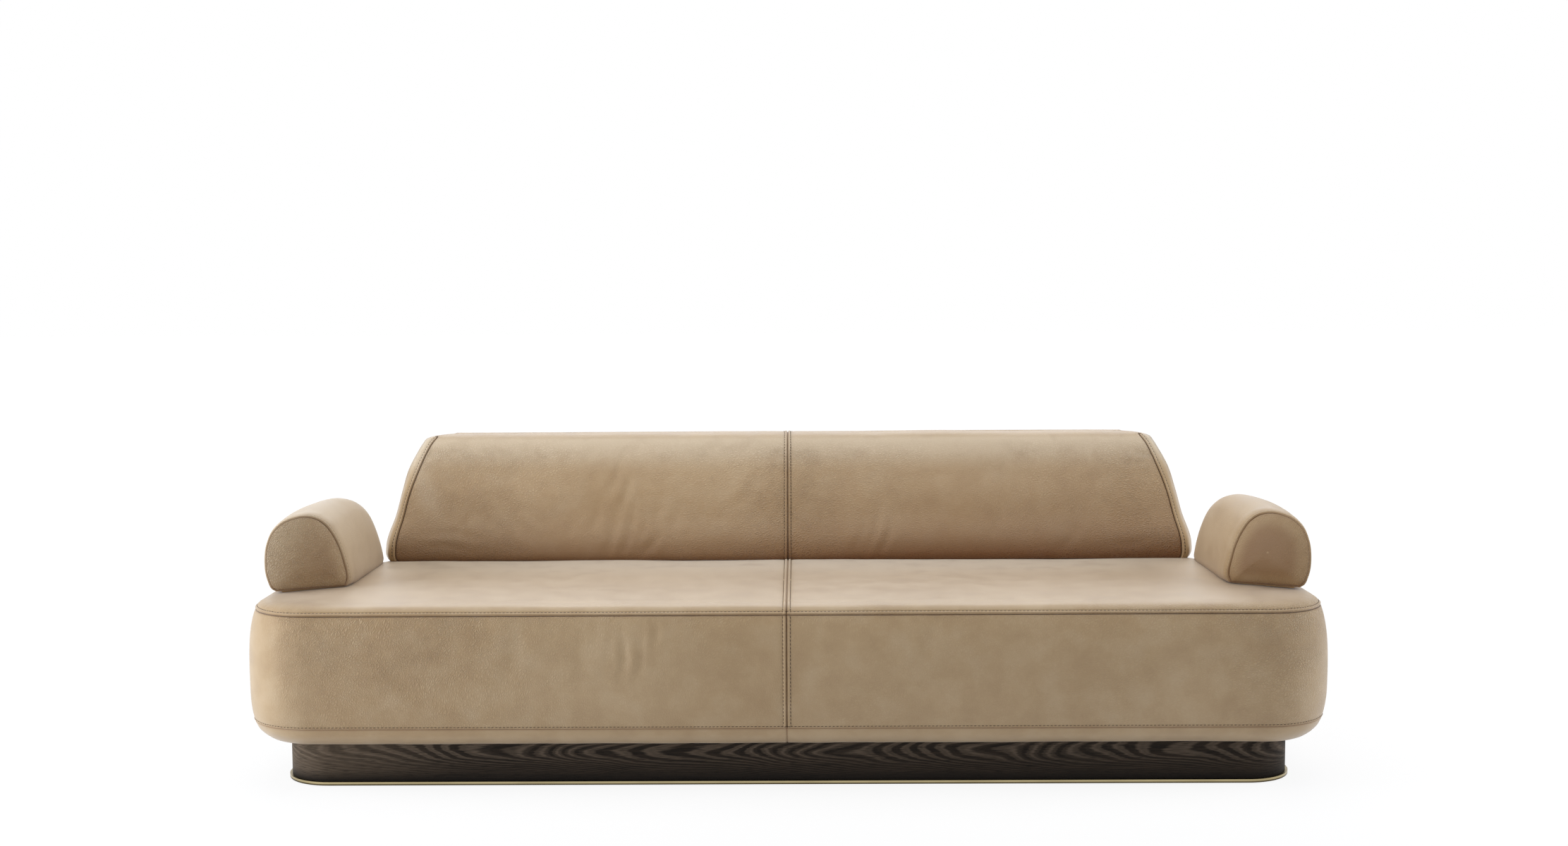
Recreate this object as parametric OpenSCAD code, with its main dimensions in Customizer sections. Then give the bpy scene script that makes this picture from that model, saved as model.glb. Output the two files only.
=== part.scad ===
// Low leather sofa: a deep upholstered seat on a recessed oak plinth with a
// brass trim, a long leaning back bolster and two short arm bolsters.
// The sofa faces -Y, +Z is up, and the origin is on the floor at its centre.

/* [Seat] */
// Overall width of the seat at its fullest
seat_w = 2500; // [1900:50:2900]
// Overall depth of the seat at its fullest
seat_d = 960; // [900:20:1100]
// Plan radius of the front corners
front_corner_r = 165; // [140:5:200]
// Plan radius of the rear corners
rear_corner_r = 700; // [560:20:740]
// Height of the flat part of the seat top above the floor
seat_z = 429; // [400:5:480]
// Rise of the seat top in the middle of the sitting area
seat_crown = 5; // [1:1:12]
// Drop of the top seam below the flat part of the seat top
top_seam_drop = 21; // [14:1:30]
// How far the top seam is drawn in from the fullest line
top_seam_inset = 17; // [8:1:24]
// Height of the bottom seam above the plinth
bottom_seam_rise = 46; // [30:1:60]
// How far the bottom seam is drawn in from the fullest line
bottom_seam_inset = 9; // [4:1:16]
// Thickness of the leather
leather_t = 2; // [1.2:0.2:3]

/* [Plinth] */
// How far the plinth stands back from the fullest line of the seat
plinth_recess = 84; // [60:2:110]
// Height of the top of the plinth above the floor
plinth_top_z = 104; // [80:2:140]
// Thickness of the oak boards
plinth_board_t = 22; // [18:1:30]
// Outer plan radius of the front corners of the plinth
plinth_corner_r = 110; // [80:5:140]
// Height of the brass trim
trim_h = 8; // [5:1:14]
// Depth of the brass trim bar
trim_d = 16; // [12:1:20]
// How far the brass trim stands out beyond the oak
trim_proud = 6; // [3:1:9]
// Free height under the brass trim
trim_floor_gap = 3; // [2:1:8]
// Width of a plinth cross batten
batten_w = 70; // [50:5:100]
// Thickness of a plinth cross batten
batten_t = 40; // [30:2:50]
// Distance of the inner cross battens from the centre
batten_inner_x = 330; // [200:10:450]
// Distance of the outer cross battens from the fullest side line of the seat
batten_side_x = 410; // [340:10:480]
// Side of a glue block under the end of a batten
block_side = 46; // [40:2:70]
// Radius of a glide
glide_r = 18; // [12:1:20]
// Radius of the shank of a plinth bolt
bolt_r = 4; // [3:0.5:5]
// Radius of the head of a plinth bolt
bolt_head_r = 8; // [6:0.5:10]
// Height of the head of a plinth bolt
bolt_head_h = 5; // [4:0.5:8]
// Distance from a board to the nearest plinth bolt
bolt_inset = 120; // [80:5:160]

/* [Seat frame] */
// Thickness of the plywood base panel
base_t = 18; // [12:1:24]
// Depth of the upholstery round the frame
frame_inset = 66; // [62:1:80]
// Thickness of the frame rails
rail_t = 30; // [22:1:36]
// Height of the frame rails
rail_h = 155; // [120:5:180]
// Side of a corner block of the frame
corner_block_side = 70; // [50:5:80]
// Distance of a side cross rail from the corner block beside it
cross_rail_gap = 60; // [40:5:120]
// Width of a webbing strap
strap_w = 60; // [50:5:80]
// Thickness of a webbing strap
strap_t = 2.4; // [1.6:0.2:3]
// Pitch of the straps that run from front to back
strap_pitch_x = 150; // [120:10:220]
// Pitch of the straps that run lengthwise
strap_pitch_y = 130; // [110:10:160]

/* [Back] */
// Height of the ridge of the back above the floor
back_top_z = 748; // [700:5:820]
// Depth of the back at its foot, to the fullest rear line of the seat
back_foot_d = 290; // [275:5:320]
// How far the front of the back leans over its height
back_lean = 124; // [90:2:140]
// Width of the rounded end of the back at its foot
back_end_w = 34; // [26:1:44]
// How far the back stands in from the fullest line of the seat
back_inset = 20; // [16:1:30]
// Thickness of the back frame
back_frame_t = 90; // [60:5:100]
// Height of the foam over the back frame
back_frame_cover = 104; // [80:2:140]
// Thickness of a plywood rib of the back
rib_t = 18; // [12:1:24]
// Thickness of the plywood closing panel of the back
back_panel_t = 9; // [6:1:12]

/* [Arms] */
// Distance from the end seam of the back to the inner side of an arm
arm_back_gap = 24; // [16:1:40]
// Height of the front of an arm above the seat
arm_h = 185; // [150:5:220]
// Distance from the fullest front line to the front of the arm, outer side
arm_front_outer = 182; // [170:2:200]
// Distance from the fullest front line to the front of the arm, inner side
arm_front_inner = 292; // [260:2:310]
// How far an arm stands in from the fullest line of the seat
arm_inset = 23; // [18:1:30]
// How far an arm is drawn in at its front seam
arm_seam_inset = 9; // [4:1:12]
// How far the front panel of an arm is domed
arm_dome = 13; // [6:1:18]
// Thickness of the plywood board in the base of an arm
arm_board_t = 18; // [12:1:24]

/* [Hidden] */

// Clearance between pieces that lie against each other
fit_gap = 0.3;
// Gap between two pieces of leather at a sewn seam
seam_gap = 0.4;
// Running clearance round a bolt
bolt_gap = 0.5;
// Overrun of a cut past a face
cut_over = 1;
// Facets of round wood and metal
round_fn = 96;

// Colours
oak = "#3a302a";
brass = "#c9ab6f";
pine = "#d8b988";
ply = "#c79a63";
steel = "#a9abad";
foam = "#e9dfc2";
strap = "#3c3f38";
leather = "#ad8c64";
nylon = "#2a2a2a";

half_w = seat_w / 2;
half_d = seat_d / 2;
// Least straight length of a side between its front and rear corners
side_straight = 60;
// Radius of the rear corners, as large as the depth of the seat leaves room for
rear_r = min(rear_corner_r, seat_d - front_corner_r - side_straight);
rear_centre_x = half_w - rear_r;
rear_centre_y = half_d - rear_r;
front_centre_x = half_w - front_corner_r;
front_centre_y = -half_d + front_corner_r;

// Heights, from the floor up
trim_top_z = trim_floor_gap + trim_h;
board_bottom_z = trim_top_z + fit_gap;
batten_bottom_z = plinth_top_z - batten_t;
under_z = plinth_top_z + fit_gap;
base_bottom_z = under_z + leather_t + fit_gap;
base_top_z = base_bottom_z + base_t;
rail_bottom_z = base_top_z + fit_gap;
rail_top_z = rail_bottom_z + rail_h;
strap_low_z = rail_top_z + fit_gap;
strap_high_z = strap_low_z + strap_t + fit_gap;
pad_bottom_z = strap_high_z + strap_t + fit_gap;
border_top_z = pad_bottom_z - fit_gap;
bottom_seam_z = plinth_top_z + bottom_seam_rise;
top_seam_z = seat_z - top_seam_drop;
rest_z = seat_z + fit_gap;

// Places on the plan
foot_y = half_d - back_foot_d;
mid_y = (foot_y - half_d) / 2;
// Depth of the rounded end of the back at its foot
back_end_d = 45;
back_end_x = side_x(foot_y + back_end_d, back_inset);
back_half_w = back_end_x - back_end_w;
arm_inner_x = back_half_w + arm_back_gap;
arm_w = half_w - arm_inset - arm_inner_x;
plinth_front_x = half_w - plinth_recess - plinth_corner_r;
plinth_front_y = -half_d + plinth_recess + plinth_corner_r;

// The curves of the seat, as shares of the sizes that they join
front_shares = [0.35, 0.7];
rear_shares = [0.5];
front_steps = 5;
rear_steps = 8;
under_curve_shares = [[0.9, 0], [0.47, 0.24], [0.16, 0.61]];
side_low_shares = [[0.17, 0.22]];
side_high_shares = [[0.5, 0.22], [0.8, 0.6]];
top_curve_shares = [[0.11, 0.52], [0.4, 0.9], [1, 1]];
crown_ring_shares = [0.72, 0.95];
// Inset at which the rounded edge of the seat top has become flat
flat_inset = 80;
// How far the under band is tucked in over the plinth
under_tuck = 16;
// Half width of the line on which the crown of the seat lies
crown_line_share = 0.57;
// Half width of the crowned area, as a share of the room between the arms
crown_width_share = 0.86;

// Outline of the seat's right half at an inset, from the front centre to the rear.
// Its points lie on the round corners, or just outside them so that its chords do.
function half_outline(inset, chords_outside = false) = let (
    front_bend_r = (front_corner_r - inset) / (chords_outside ? cos(45 / front_steps) : 1),
    rear_bend_r = (rear_r - inset) / (chords_outside ? cos(45 / rear_steps) : 1))
    concat(
        [[seam_gap / 2, -half_d + inset]],
        [for (s = front_shares) [s * front_centre_x, -half_d + inset]],
        [for (k = [0:front_steps]) let (a = -90 + 90 * k / front_steps)
            [front_centre_x + front_bend_r * cos(a), front_centre_y + front_bend_r * sin(a)]],
        [for (k = [0:rear_steps]) let (a = 90 * k / rear_steps)
            [rear_centre_x + rear_bend_r * cos(a), rear_centre_y + rear_bend_r * sin(a)]],
        [for (s = rear_shares) [s * rear_centre_x, half_d - inset]],
        [[seam_gap / 2, half_d - inset]]);

// Joins a right half outline to its mirror image
function both_halves(half) = concat(half,
    [for (j = [len(half) - 1:-1:0]) [-half[j].x, half[j].y]]);

// Section of the seat's side as [inset, height], from the plinth to the flat top
seat_profile = concat(
    [[plinth_recess + under_tuck, under_z]],
    [for (s = under_curve_shares)
        [bottom_seam_inset + s[0] * (frame_inset - bottom_seam_inset),
         under_z + s[1] * (bottom_seam_z - under_z)]],
    [[bottom_seam_inset, bottom_seam_z - seam_gap / 2]],
    [[bottom_seam_inset, bottom_seam_z + seam_gap / 2]],
    [for (s = side_low_shares)
        [s[1] * bottom_seam_inset, bottom_seam_z + s[0] * (top_seam_z - bottom_seam_z)]],
    [[0, border_top_z]],
    [for (s = side_high_shares)
        [s[1] * top_seam_inset, border_top_z + s[0] * (top_seam_z - border_top_z)]],
    [[top_seam_inset, top_seam_z - seam_gap / 2]],
    [[top_seam_inset, top_seam_z + seam_gap / 2]],
    [for (s = top_curve_shares)
        [top_seam_inset + s[0] * (flat_inset - top_seam_inset),
         top_seam_z + s[1] * (seat_z - top_seam_z)]]);
under_seam_ring = len(under_curve_shares) + 1;
split_ring = under_seam_ring + len(side_low_shares) + 2;
top_seam_ring = split_ring + len(side_high_shares) + 1;
flat_ring = len(seat_profile) - 1;

// Square to an open line at its place k; the two edges of a seam share one normal
function is_seam(line, k) = k > 0 && k < len(line) && norm(line[k] - line[k - 1]) < 2 * seam_gap;
function line_normal(line, k) = let (
    a = line[max(is_seam(line, k) ? k - 2 : k - 1, 0)],
    b = line[min(is_seam(line, k + 1) ? k + 2 : k + 1, len(line) - 1)],
    t = (b - a) / norm(b - a)) [-t.y, t.x];

// Moves each point of an open line inwards
function inner_line(line, depth) = [for (k = [0:len(line) - 1])
    line[k] - depth * line_normal(line, k)];

// Share of the crown's rise at a place on the seat
function crown_share(p) =
    max(0, 1 - pow(p.x / (crown_width_share * arm_inner_x), 2))
    * max(0, 1 - pow((p.y - mid_y) / (foot_y - mid_y), 2));

// Rings of the seat's surface at a depth under it
function seat_rings(depth) = let (
    profile = inner_line(seat_profile, depth),
    flat = both_halves(half_outline(profile[flat_ring][0])),
    line_x = crown_line_share * arm_inner_x,
    first = (half_d - flat_inset - foot_y) / (half_d - flat_inset - mid_y))
    concat(
        [for (p = profile) [for (q = both_halves(half_outline(p[0]))) [q.x, q.y, p[1]]]],
        [for (t = concat([first], crown_ring_shares))
            [for (q = flat) let (
                c = [max(-line_x, min(line_x, q.x)), mid_y],
                p = q + t * (c - q))
                [p.x, p.y, seat_z + seat_crown * crown_share(p) - depth]]]);

// Adds up a list of lists of points
function flat_list(lists) = [for (l = lists) each l];

// Faces between ring a and ring b from place j0 to place j1 of rings of n points
function band(a, b, j0, j1, n) = [for (k = [a:b - 1], j = [j0:j1 - 1]) each let (
    p = k * n + j % n,
    q = k * n + (j + 1) % n) [[p, p + n, q + n], [p, q + n, q]]];

// Faces across one half of a ring, which join its front to its rear
function zip(first, last) = [for (j = [0:floor((last - first) / 2) - 1]) each let (
    a = first + j,
    b = last - j) a + 1 == b - 1
        ? [[a, b, a + 1]]
        : [[a, b, b - 1], [a, b - 1, a + 1]]];

function turned(faces) = [for (f = faces) [f[0], f[2], f[1]]];

function shift(faces, start) = [for (f = faces) [for (v = f) v + start]];

// Faces that close a ring of two halves of n points each
function whole_cap(n) = concat(zip(0, n - 1), zip(n, 2 * n - 1),
    [[0, 2 * n - 1, n], [0, n, n - 1]]);

// Edges of a patch of faces that belong to one face only
function rim(faces) = let (
    edges = [for (f = faces, k = [0:2]) [f[k], f[(k + 1) % 3]]],
    top = max([for (e = edges) max(e)]) + 1,
    keys = [for (e = edges) e[1] * top + e[0]])
    [for (e = edges) if (len(search(e[0] * top + e[1], keys)) == 0) e];

// A sheet with one face on the outer points and one on the inner points
module sheet(outer, inner, faces) {
    n = len(outer);
    walls = [for (e = rim(faces)) each [[e[1], e[0], e[0] + n], [e[1], e[0] + n, e[1] + n]]];
    under = [for (f = turned(faces)) [for (v = f) v + n]];
    polyhedron(points = concat(outer, inner), faces = concat(faces, under, walls));
}

// Plan of a D-shaped piece with exact arcs, drawn in from the seat's fullest line
module plan(inset, corner_r) {
    x = half_w - inset;
    y = half_d - inset;
    corner_x = x - corner_r;
    corner_y = -y + corner_r;
    polygon([[-corner_x, -y], [corner_x, -y], [x, corner_y], [x, rear_centre_y],
        [rear_centre_x, y], [-rear_centre_x, y], [-x, rear_centre_y], [-x, corner_y]]);
    for (side = [0, 1]) mirror([side, 0]) {
        translate([corner_x, corner_y]) circle(r = corner_r, $fn = round_fn);
        intersection() {
            translate([rear_centre_x, rear_centre_y]) circle(r = rear_r - inset, $fn = round_fn);
            translate([rear_centre_x, rear_centre_y]) square(rear_r - inset);
        }
    }
}

// A quarter ring of a bar's section about the z axis
module quarter(outer_r, t, z, h) {
    translate([0, 0, z]) rotate_extrude(angle = 90, $fn = round_fn)
        translate([outer_r - t, 0]) square([t, h]);
}

// A bar bent round the right rear corner, with its straight length along the side
module bent_side(inset, t, z, h, front_y) {
    translate([rear_centre_x, rear_centre_y, 0]) quarter(rear_r - inset, t, z, h);
    translate([half_w - inset - t, front_y, z]) cube([t, rear_centre_y - front_y, h]);
}

// A quarter bend at the right front corner
module front_bend(inset, corner_r, t, z, h) {
    translate([half_w - inset - corner_r, -half_d + inset + corner_r, 0])
        rotate([0, 0, -90]) quarter(corner_r, t, z, h);
}

// Furthest y on the inner face of a wall of this inset at distance x from the centre
function rear_y(x, inset) = x <= rear_centre_x
    ? half_d - inset
    : rear_centre_y + sqrt(pow(rear_r - inset, 2) - pow(x - rear_centre_x, 2));

// Greatest x on the inner face of a wall of this inset at place y
function side_x(y, inset) = y > rear_centre_y
    ? rear_centre_x + sqrt(pow(rear_r - inset, 2) - pow(y - rear_centre_y, 2))
    : y > front_centre_y
        ? half_w - inset
        : front_centre_x + sqrt(pow(front_corner_r - inset, 2) - pow(front_centre_y - y, 2));

batten_outer_x = half_w - batten_side_x;
batten_xs = [-batten_outer_x, -batten_inner_x, batten_inner_x, batten_outer_x];
plinth_inner = plinth_recess + plinth_board_t;
batten_front_y = -half_d + plinth_inner + fit_gap;
function batten_rear_y(x) = rear_y(abs(x) + batten_w / 2, plinth_inner) - fit_gap;
function bolt_places(x) = [batten_front_y + bolt_inset, batten_rear_y(x) - bolt_inset];
bolt_xy = [for (x = batten_xs, y = bolt_places(x)) [x, y]];
block_xy = [for (x = batten_xs, y = [batten_front_y + block_side / 2,
    rear_y(abs(x) + block_side / 2, plinth_inner) - fit_gap - block_side / 2]) [x, y]];

module glides() {
    color(nylon) for (p = block_xy) translate([p.x, p.y, 0])
        cylinder(r = glide_r, h = board_bottom_z - fit_gap, $fn = round_fn);
}

trim_inset = plinth_recess - trim_proud;
trim_corner_r = plinth_corner_r + trim_proud;

module trim_front() {
    color(brass) {
        translate([-plinth_front_x, -half_d + trim_inset, trim_floor_gap])
            cube([2 * plinth_front_x, trim_d, trim_h]);
        for (side = [0, 1]) mirror([side, 0, 0])
            front_bend(trim_inset, trim_corner_r, trim_d, trim_floor_gap, trim_h);
    }
}

module trim_side() {
    color(brass) bent_side(trim_inset, trim_d, trim_floor_gap, trim_h, plinth_front_y);
}

module trim_right() { trim_side(); }
module trim_left() { mirror([1, 0, 0]) trim_side(); }

module trim_rear() {
    color(brass) translate([-rear_centre_x, half_d - trim_inset - trim_d, trim_floor_gap])
        cube([2 * rear_centre_x, trim_d, trim_h]);
}

board_h = plinth_top_z - board_bottom_z;

module plinth_front_board() {
    color(oak) translate([-plinth_front_x, -half_d + plinth_recess, board_bottom_z])
        cube([2 * plinth_front_x, plinth_board_t, board_h]);
}

module plinth_corner() {
    color(oak) front_bend(plinth_recess, plinth_corner_r, plinth_board_t, board_bottom_z, board_h);
}

module plinth_corner_right() { plinth_corner(); }
module plinth_corner_left() { mirror([1, 0, 0]) plinth_corner(); }

module plinth_side_board() {
    color(oak) bent_side(plinth_recess, plinth_board_t, board_bottom_z, board_h, plinth_front_y);
}

module plinth_side_board_right() { plinth_side_board(); }
module plinth_side_board_left() { mirror([1, 0, 0]) plinth_side_board(); }

module plinth_rear_board() {
    color(oak) translate([-rear_centre_x, half_d - plinth_inner, board_bottom_z])
        cube([2 * rear_centre_x, plinth_board_t, board_h]);
}

module plinth_battens() {
    color(pine) difference() {
        for (x = batten_xs) translate([x - batten_w / 2, batten_front_y, batten_bottom_z])
            cube([batten_w, batten_rear_y(x) - batten_front_y, batten_t]);
        for (p = bolt_xy) translate([p.x, p.y, batten_bottom_z - cut_over])
            cylinder(r = bolt_r + bolt_gap, h = batten_t + 2 * cut_over, $fn = round_fn);
    }
}

module plinth_glue_blocks() {
    color(pine) for (p = block_xy)
        translate([p.x - block_side / 2, p.y - block_side / 2, board_bottom_z])
            cube([block_side, block_side, batten_bottom_z - fit_gap - board_bottom_z]);
}

// Wall of the barrel of a tee nut, its flange and its length
tee_wall = 1.6;
tee_flange_r = 11;
tee_flange_t = 1.5;
tee_barrel_h = 10;
bolt_end_proud = 3;

module plinth_bolts() {
    color(steel) for (p = bolt_xy) translate([p.x, p.y, batten_bottom_z]) {
        translate([0, 0, -bolt_head_h]) cylinder(r = bolt_head_r, h = bolt_head_h, $fn = 6);
        cylinder(r = bolt_r, $fn = round_fn,
            h = base_top_z + tee_flange_t + bolt_end_proud - batten_bottom_z);
    }
}

module tee_nuts() {
    color(steel) for (p = bolt_xy) translate([p.x, p.y, base_top_z]) difference() {
        union() {
            cylinder(r = tee_flange_r, h = tee_flange_t, $fn = round_fn);
            translate([0, 0, -tee_barrel_h])
                cylinder(r = bolt_r + tee_wall, h = tee_barrel_h, $fn = round_fn);
        }
        translate([0, 0, -tee_barrel_h - cut_over]) cylinder(r = bolt_r + fit_gap,
            h = tee_barrel_h + tee_flange_t + 2 * cut_over, $fn = round_fn);
    }
}

module base_panel() {
    color(ply) translate([0, 0, base_bottom_z]) difference() {
        linear_extrude(base_t) plan(frame_inset, front_corner_r - frame_inset);
        for (p = bolt_xy) translate([p.x, p.y, -cut_over])
            cylinder(r = bolt_r + tee_wall + fit_gap, h = base_t + 2 * cut_over, $fn = round_fn);
    }
}

rail_inner = frame_inset + rail_t;

module frame_front_rail() {
    color(pine) translate([-front_centre_x, -half_d + frame_inset, rail_bottom_z])
        cube([2 * front_centre_x, rail_t, rail_h]);
}

module frame_rear_rail() {
    color(pine) translate([-rear_centre_x, half_d - rail_inner, rail_bottom_z])
        cube([2 * rear_centre_x, rail_t, rail_h]);
}

module frame_side_rail() {
    color(ply) {
        front_bend(frame_inset, front_corner_r - frame_inset, rail_t, rail_bottom_z, rail_h);
        bent_side(frame_inset, rail_t, rail_bottom_z, rail_h, front_centre_y);
    }
}

module frame_side_rail_right() { frame_side_rail(); }
module frame_side_rail_left() { mirror([1, 0, 0]) frame_side_rail(); }

module frame_cross_rails() {
    side = rear_centre_x - corner_block_side - cross_rail_gap;
    y = -half_d + rail_inner + fit_gap;
    color(pine) for (x = [-side, 0, side])
        translate([x - rail_t / 2, y, rail_bottom_z]) cube([rail_t, -2 * y, rail_h]);
}

module frame_corner_blocks() {
    low_y = -half_d + rail_inner + fit_gap;
    color(pine) for (side = [0, 1]) mirror([side, 0, 0]) {
        translate([front_centre_x - corner_block_side, low_y, rail_bottom_z])
            cube([corner_block_side, corner_block_side, rail_h]);
        translate([rear_centre_x - corner_block_side, -low_y - corner_block_side, rail_bottom_z])
            cube([corner_block_side, corner_block_side, rail_h]);
    }
}

// The straps end in the middle of the rails
strap_inset = frame_inset + rail_t / 2;
strap_first_y = -half_d + rail_inner + strap_w;
strap_rows = floor((half_d - rail_inner - strap_w / 2 - strap_first_y) / strap_pitch_y);
strap_columns = floor((front_centre_x - strap_w / 2) / strap_pitch_x);

module webbing_lengthwise() {
    color(strap) for (k = [0:strap_rows]) let (
        y = strap_first_y + k * strap_pitch_y,
        x = min(side_x(y - strap_w / 2, strap_inset), side_x(y + strap_w / 2, strap_inset)))
        translate([-x, y - strap_w / 2, strap_low_z]) cube([2 * x, strap_w, strap_t]);
}

module webbing_crosswise() {
    color(strap) for (k = [-strap_columns:strap_columns]) let (
        x = k * strap_pitch_x,
        y = -half_d + strap_inset,
        end = rear_y(abs(x) + strap_w / 2, strap_inset))
        translate([x - strap_w / 2, y, strap_high_z]) cube([strap_w, end - y, strap_t]);
}

// Points of the seat's surface, and the same under the leather
half_n = len(half_outline(0));
ring_n = 2 * half_n;
last_ring = flat_ring + len(crown_ring_shares) + 1;
foam_depth = leather_t + fit_gap;
seat_skin = flat_list(seat_rings(0));
seat_under = flat_list(seat_rings(leather_t));
seat_foam = seat_rings(foam_depth);

module seat_foam_pad() {
    profile = inner_line(seat_profile, foam_depth);
    foot = [for (q = both_halves(half_outline(profile[split_ring][0]))) [q.x, q.y, pad_bottom_z]];
    rings = concat([foot], [for (k = [split_ring + 1:last_ring]) seat_foam[k]]);
    top = (len(rings) - 1) * ring_n;
    cap = whole_cap(half_n);
    color(foam) polyhedron(points = flat_list(rings), faces = concat(
        band(0, len(rings) - 1, 0, ring_n, ring_n),
        shift(cap, top),
        turned(cap)));
}

// A length of the foam border that follows the outline through the places js
module foam_border(js) {
    profile = inner_line(seat_profile, foam_depth);
    wall = both_halves(half_outline(frame_inset - fit_gap, true));
    low = 1;
    section = split_ring - low + 2;
    rings = [for (j = js) let (w = wall[j % ring_n]) concat(
        [[w.x, w.y, profile[low][1]]],
        [for (k = [low + 1:split_ring - 1]) seat_foam[k][j % ring_n]],
        [let (q = both_halves(half_outline(profile[split_ring][0]))[j % ring_n])
            [q.x, q.y, border_top_z]],
        [[w.x, w.y, border_top_z]])];
    end = (len(js) - 1) * section;
    color(foam) polyhedron(points = flat_list(rings), faces = concat(
        turned(band(0, len(js) - 1, 0, section, section)),
        [for (k = [1:section - 2]) [0, k + 1, k]],
        [for (k = [1:section - 2]) [end, end + k, end + k + 1]]));
}

corner_start = len(front_shares) + 1;
rear_end = half_n - 1 - len(rear_shares) - 1;
module foam_border_front() {
    foam_border([for (j = [ring_n - 1 - corner_start:ring_n + corner_start]) j]);
}
module foam_border_rear() { foam_border([for (j = [rear_end:ring_n - 1 - rear_end]) j]); }
module foam_border_right() { foam_border([for (j = [corner_start:rear_end]) j]); }
module foam_border_left() {
    foam_border([for (j = [ring_n - 1 - rear_end:ring_n - 1 - corner_start]) j]);
}

module under_band_leather_right() {
    color(leather) sheet(seat_skin, seat_under,
        band(0, under_seam_ring, 0, half_n - 1, ring_n));
}
module under_band_leather_left() {
    color(leather) sheet(seat_skin, seat_under,
        band(0, under_seam_ring, half_n, ring_n - 1, ring_n));
}
module seat_side_leather_right() {
    color(leather) sheet(seat_skin, seat_under,
        band(under_seam_ring + 1, top_seam_ring, 0, half_n - 1, ring_n));
}
module seat_side_leather_left() {
    color(leather) sheet(seat_skin, seat_under,
        band(under_seam_ring + 1, top_seam_ring, half_n, ring_n - 1, ring_n));
}

seat_top_start = last_ring * ring_n;
module seat_top_leather_right() {
    color(leather) sheet(seat_skin, seat_under, concat(
        band(top_seam_ring + 1, last_ring, 0, half_n - 1, ring_n),
        shift(zip(0, half_n - 1), seat_top_start)));
}
module seat_top_leather_left() {
    color(leather) sheet(seat_skin, seat_under, concat(
        band(top_seam_ring + 1, last_ring, half_n, ring_n - 1, ring_n),
        shift(zip(half_n, ring_n - 1), seat_top_start)));
}

// Levels of the back as shares: height, lean, draw of the straight rear,
// draw of the bent rear, depth of the rounded end
back_level_shares = [
    [0, 0.05, 0.55, 0.1, 1],
    [0.033, 0, 0.25, 0.04, 1],
    [0.11, 0, 0.08, 0, 1],
    [0.364, 0.235, 0, 0, 0.89],
    [0.539, 0.4, 0, 0, 0.73],
    [0.736, 0.68, 0.04, 0, 0.36],
    [0.862, 0.855, 0.11, 0, 0.29],
    [0.939, 0.95, 0.3, 0.02, 0.38],
    [0.979, 1.05, 0.62, 0.05, 0.27],
    [1, 1.25, 1, 0.1, 0.13]];
back_front_shares = [0.33, 0.66, 0.9];
back_end_shares = [0.35, 0.7];
// Depth of the rounding of the back's rear edge, as a share of the depth of its foot
back_rear_edge_share = 0.248;
back_rear_edge = back_rear_edge_share * back_foot_d;
// Least width of the rounded end of the back
back_end_min = 4;
// Sideways run of the end seam for each unit that the front leans
back_seam_share = 0.61;
back_end_steps = 4;
back_line = [for (s = back_level_shares)
    [foot_y + s[1] * back_lean, rest_z + s[0] * (back_top_z - rest_z)]];
back_r = rear_r - back_inset;

// A point of the curve that rounds the end of the back
function bend(a, b, c, t) = (1 - t) * (1 - t) * a + 2 * t * (1 - t) * b + t * t * c;

// Right half of a level of the back at a depth under the surface
function back_half(k, depth, rear_gap) = let (
    s = back_level_shares[k],
    n = line_normal(back_line, k),
    front = back_line[k].x - depth * n.x,
    rear = half_d - back_inset - s[2] * back_rear_edge + depth * n.x + rear_gap,
    r = back_r - s[3] * back_rear_edge - depth + rear_gap,
    end_y = front + s[4] * back_end_d,
    end_x = rear_centre_x + sqrt(r * r - pow(end_y - rear_centre_y, 2)),
    seam_x = min(back_half_w - back_seam_share * (front - foot_y), end_x - back_end_min)
        - depth / 2,
    start = asin((end_y - rear_centre_y) / r),
    stop = asin(min(1, (rear - rear_centre_y) / r)),
    stop_x = rear_centre_x + r * cos(stop),
    seam = [seam_x + seam_gap, front + seam_gap / 2])
    concat(
        [[seam_gap / 2, front]],
        [for (t = back_front_shares) [t * seam_x, front]],
        [[seam_x, front]],
        [seam],
        [for (t = back_end_shares) bend(seam, [end_x, front + seam_gap], [end_x, end_y], t)],
        [for (i = [0:back_end_steps]) let (a = start + (stop - start) * i / back_end_steps)
            [rear_centre_x + r * cos(a), rear_centre_y + r * sin(a)]],
        [[stop_x / 2, rear]],
        [[seam_gap / 2, rear]]);

back_last = len(back_level_shares) - 1;
back_seam_place = len(back_front_shares) + 1;
back_half_n = len(back_half(0, 0, 0));
back_n = 2 * back_half_n;

// Rings of the back's surface at a depth under it; the last but one is the rear seam
function back_rings(depth) = concat(
    [for (k = [0:back_last - 1]) let (
        n = line_normal(back_line, k),
        z = k == 0 ? rest_z : back_line[k].y - depth * n.y)
        [for (q = both_halves(back_half(k, depth, 0))) [q.x, q.y, z]]],
    [for (g = [1, 0]) let (n = line_normal(back_line, back_last))
        [for (q = both_halves(back_half(back_last, depth, 2 * g * seam_gap)))
            [q.x, q.y, back_top_z - depth * n.y - g * seam_gap]]]);

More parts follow.
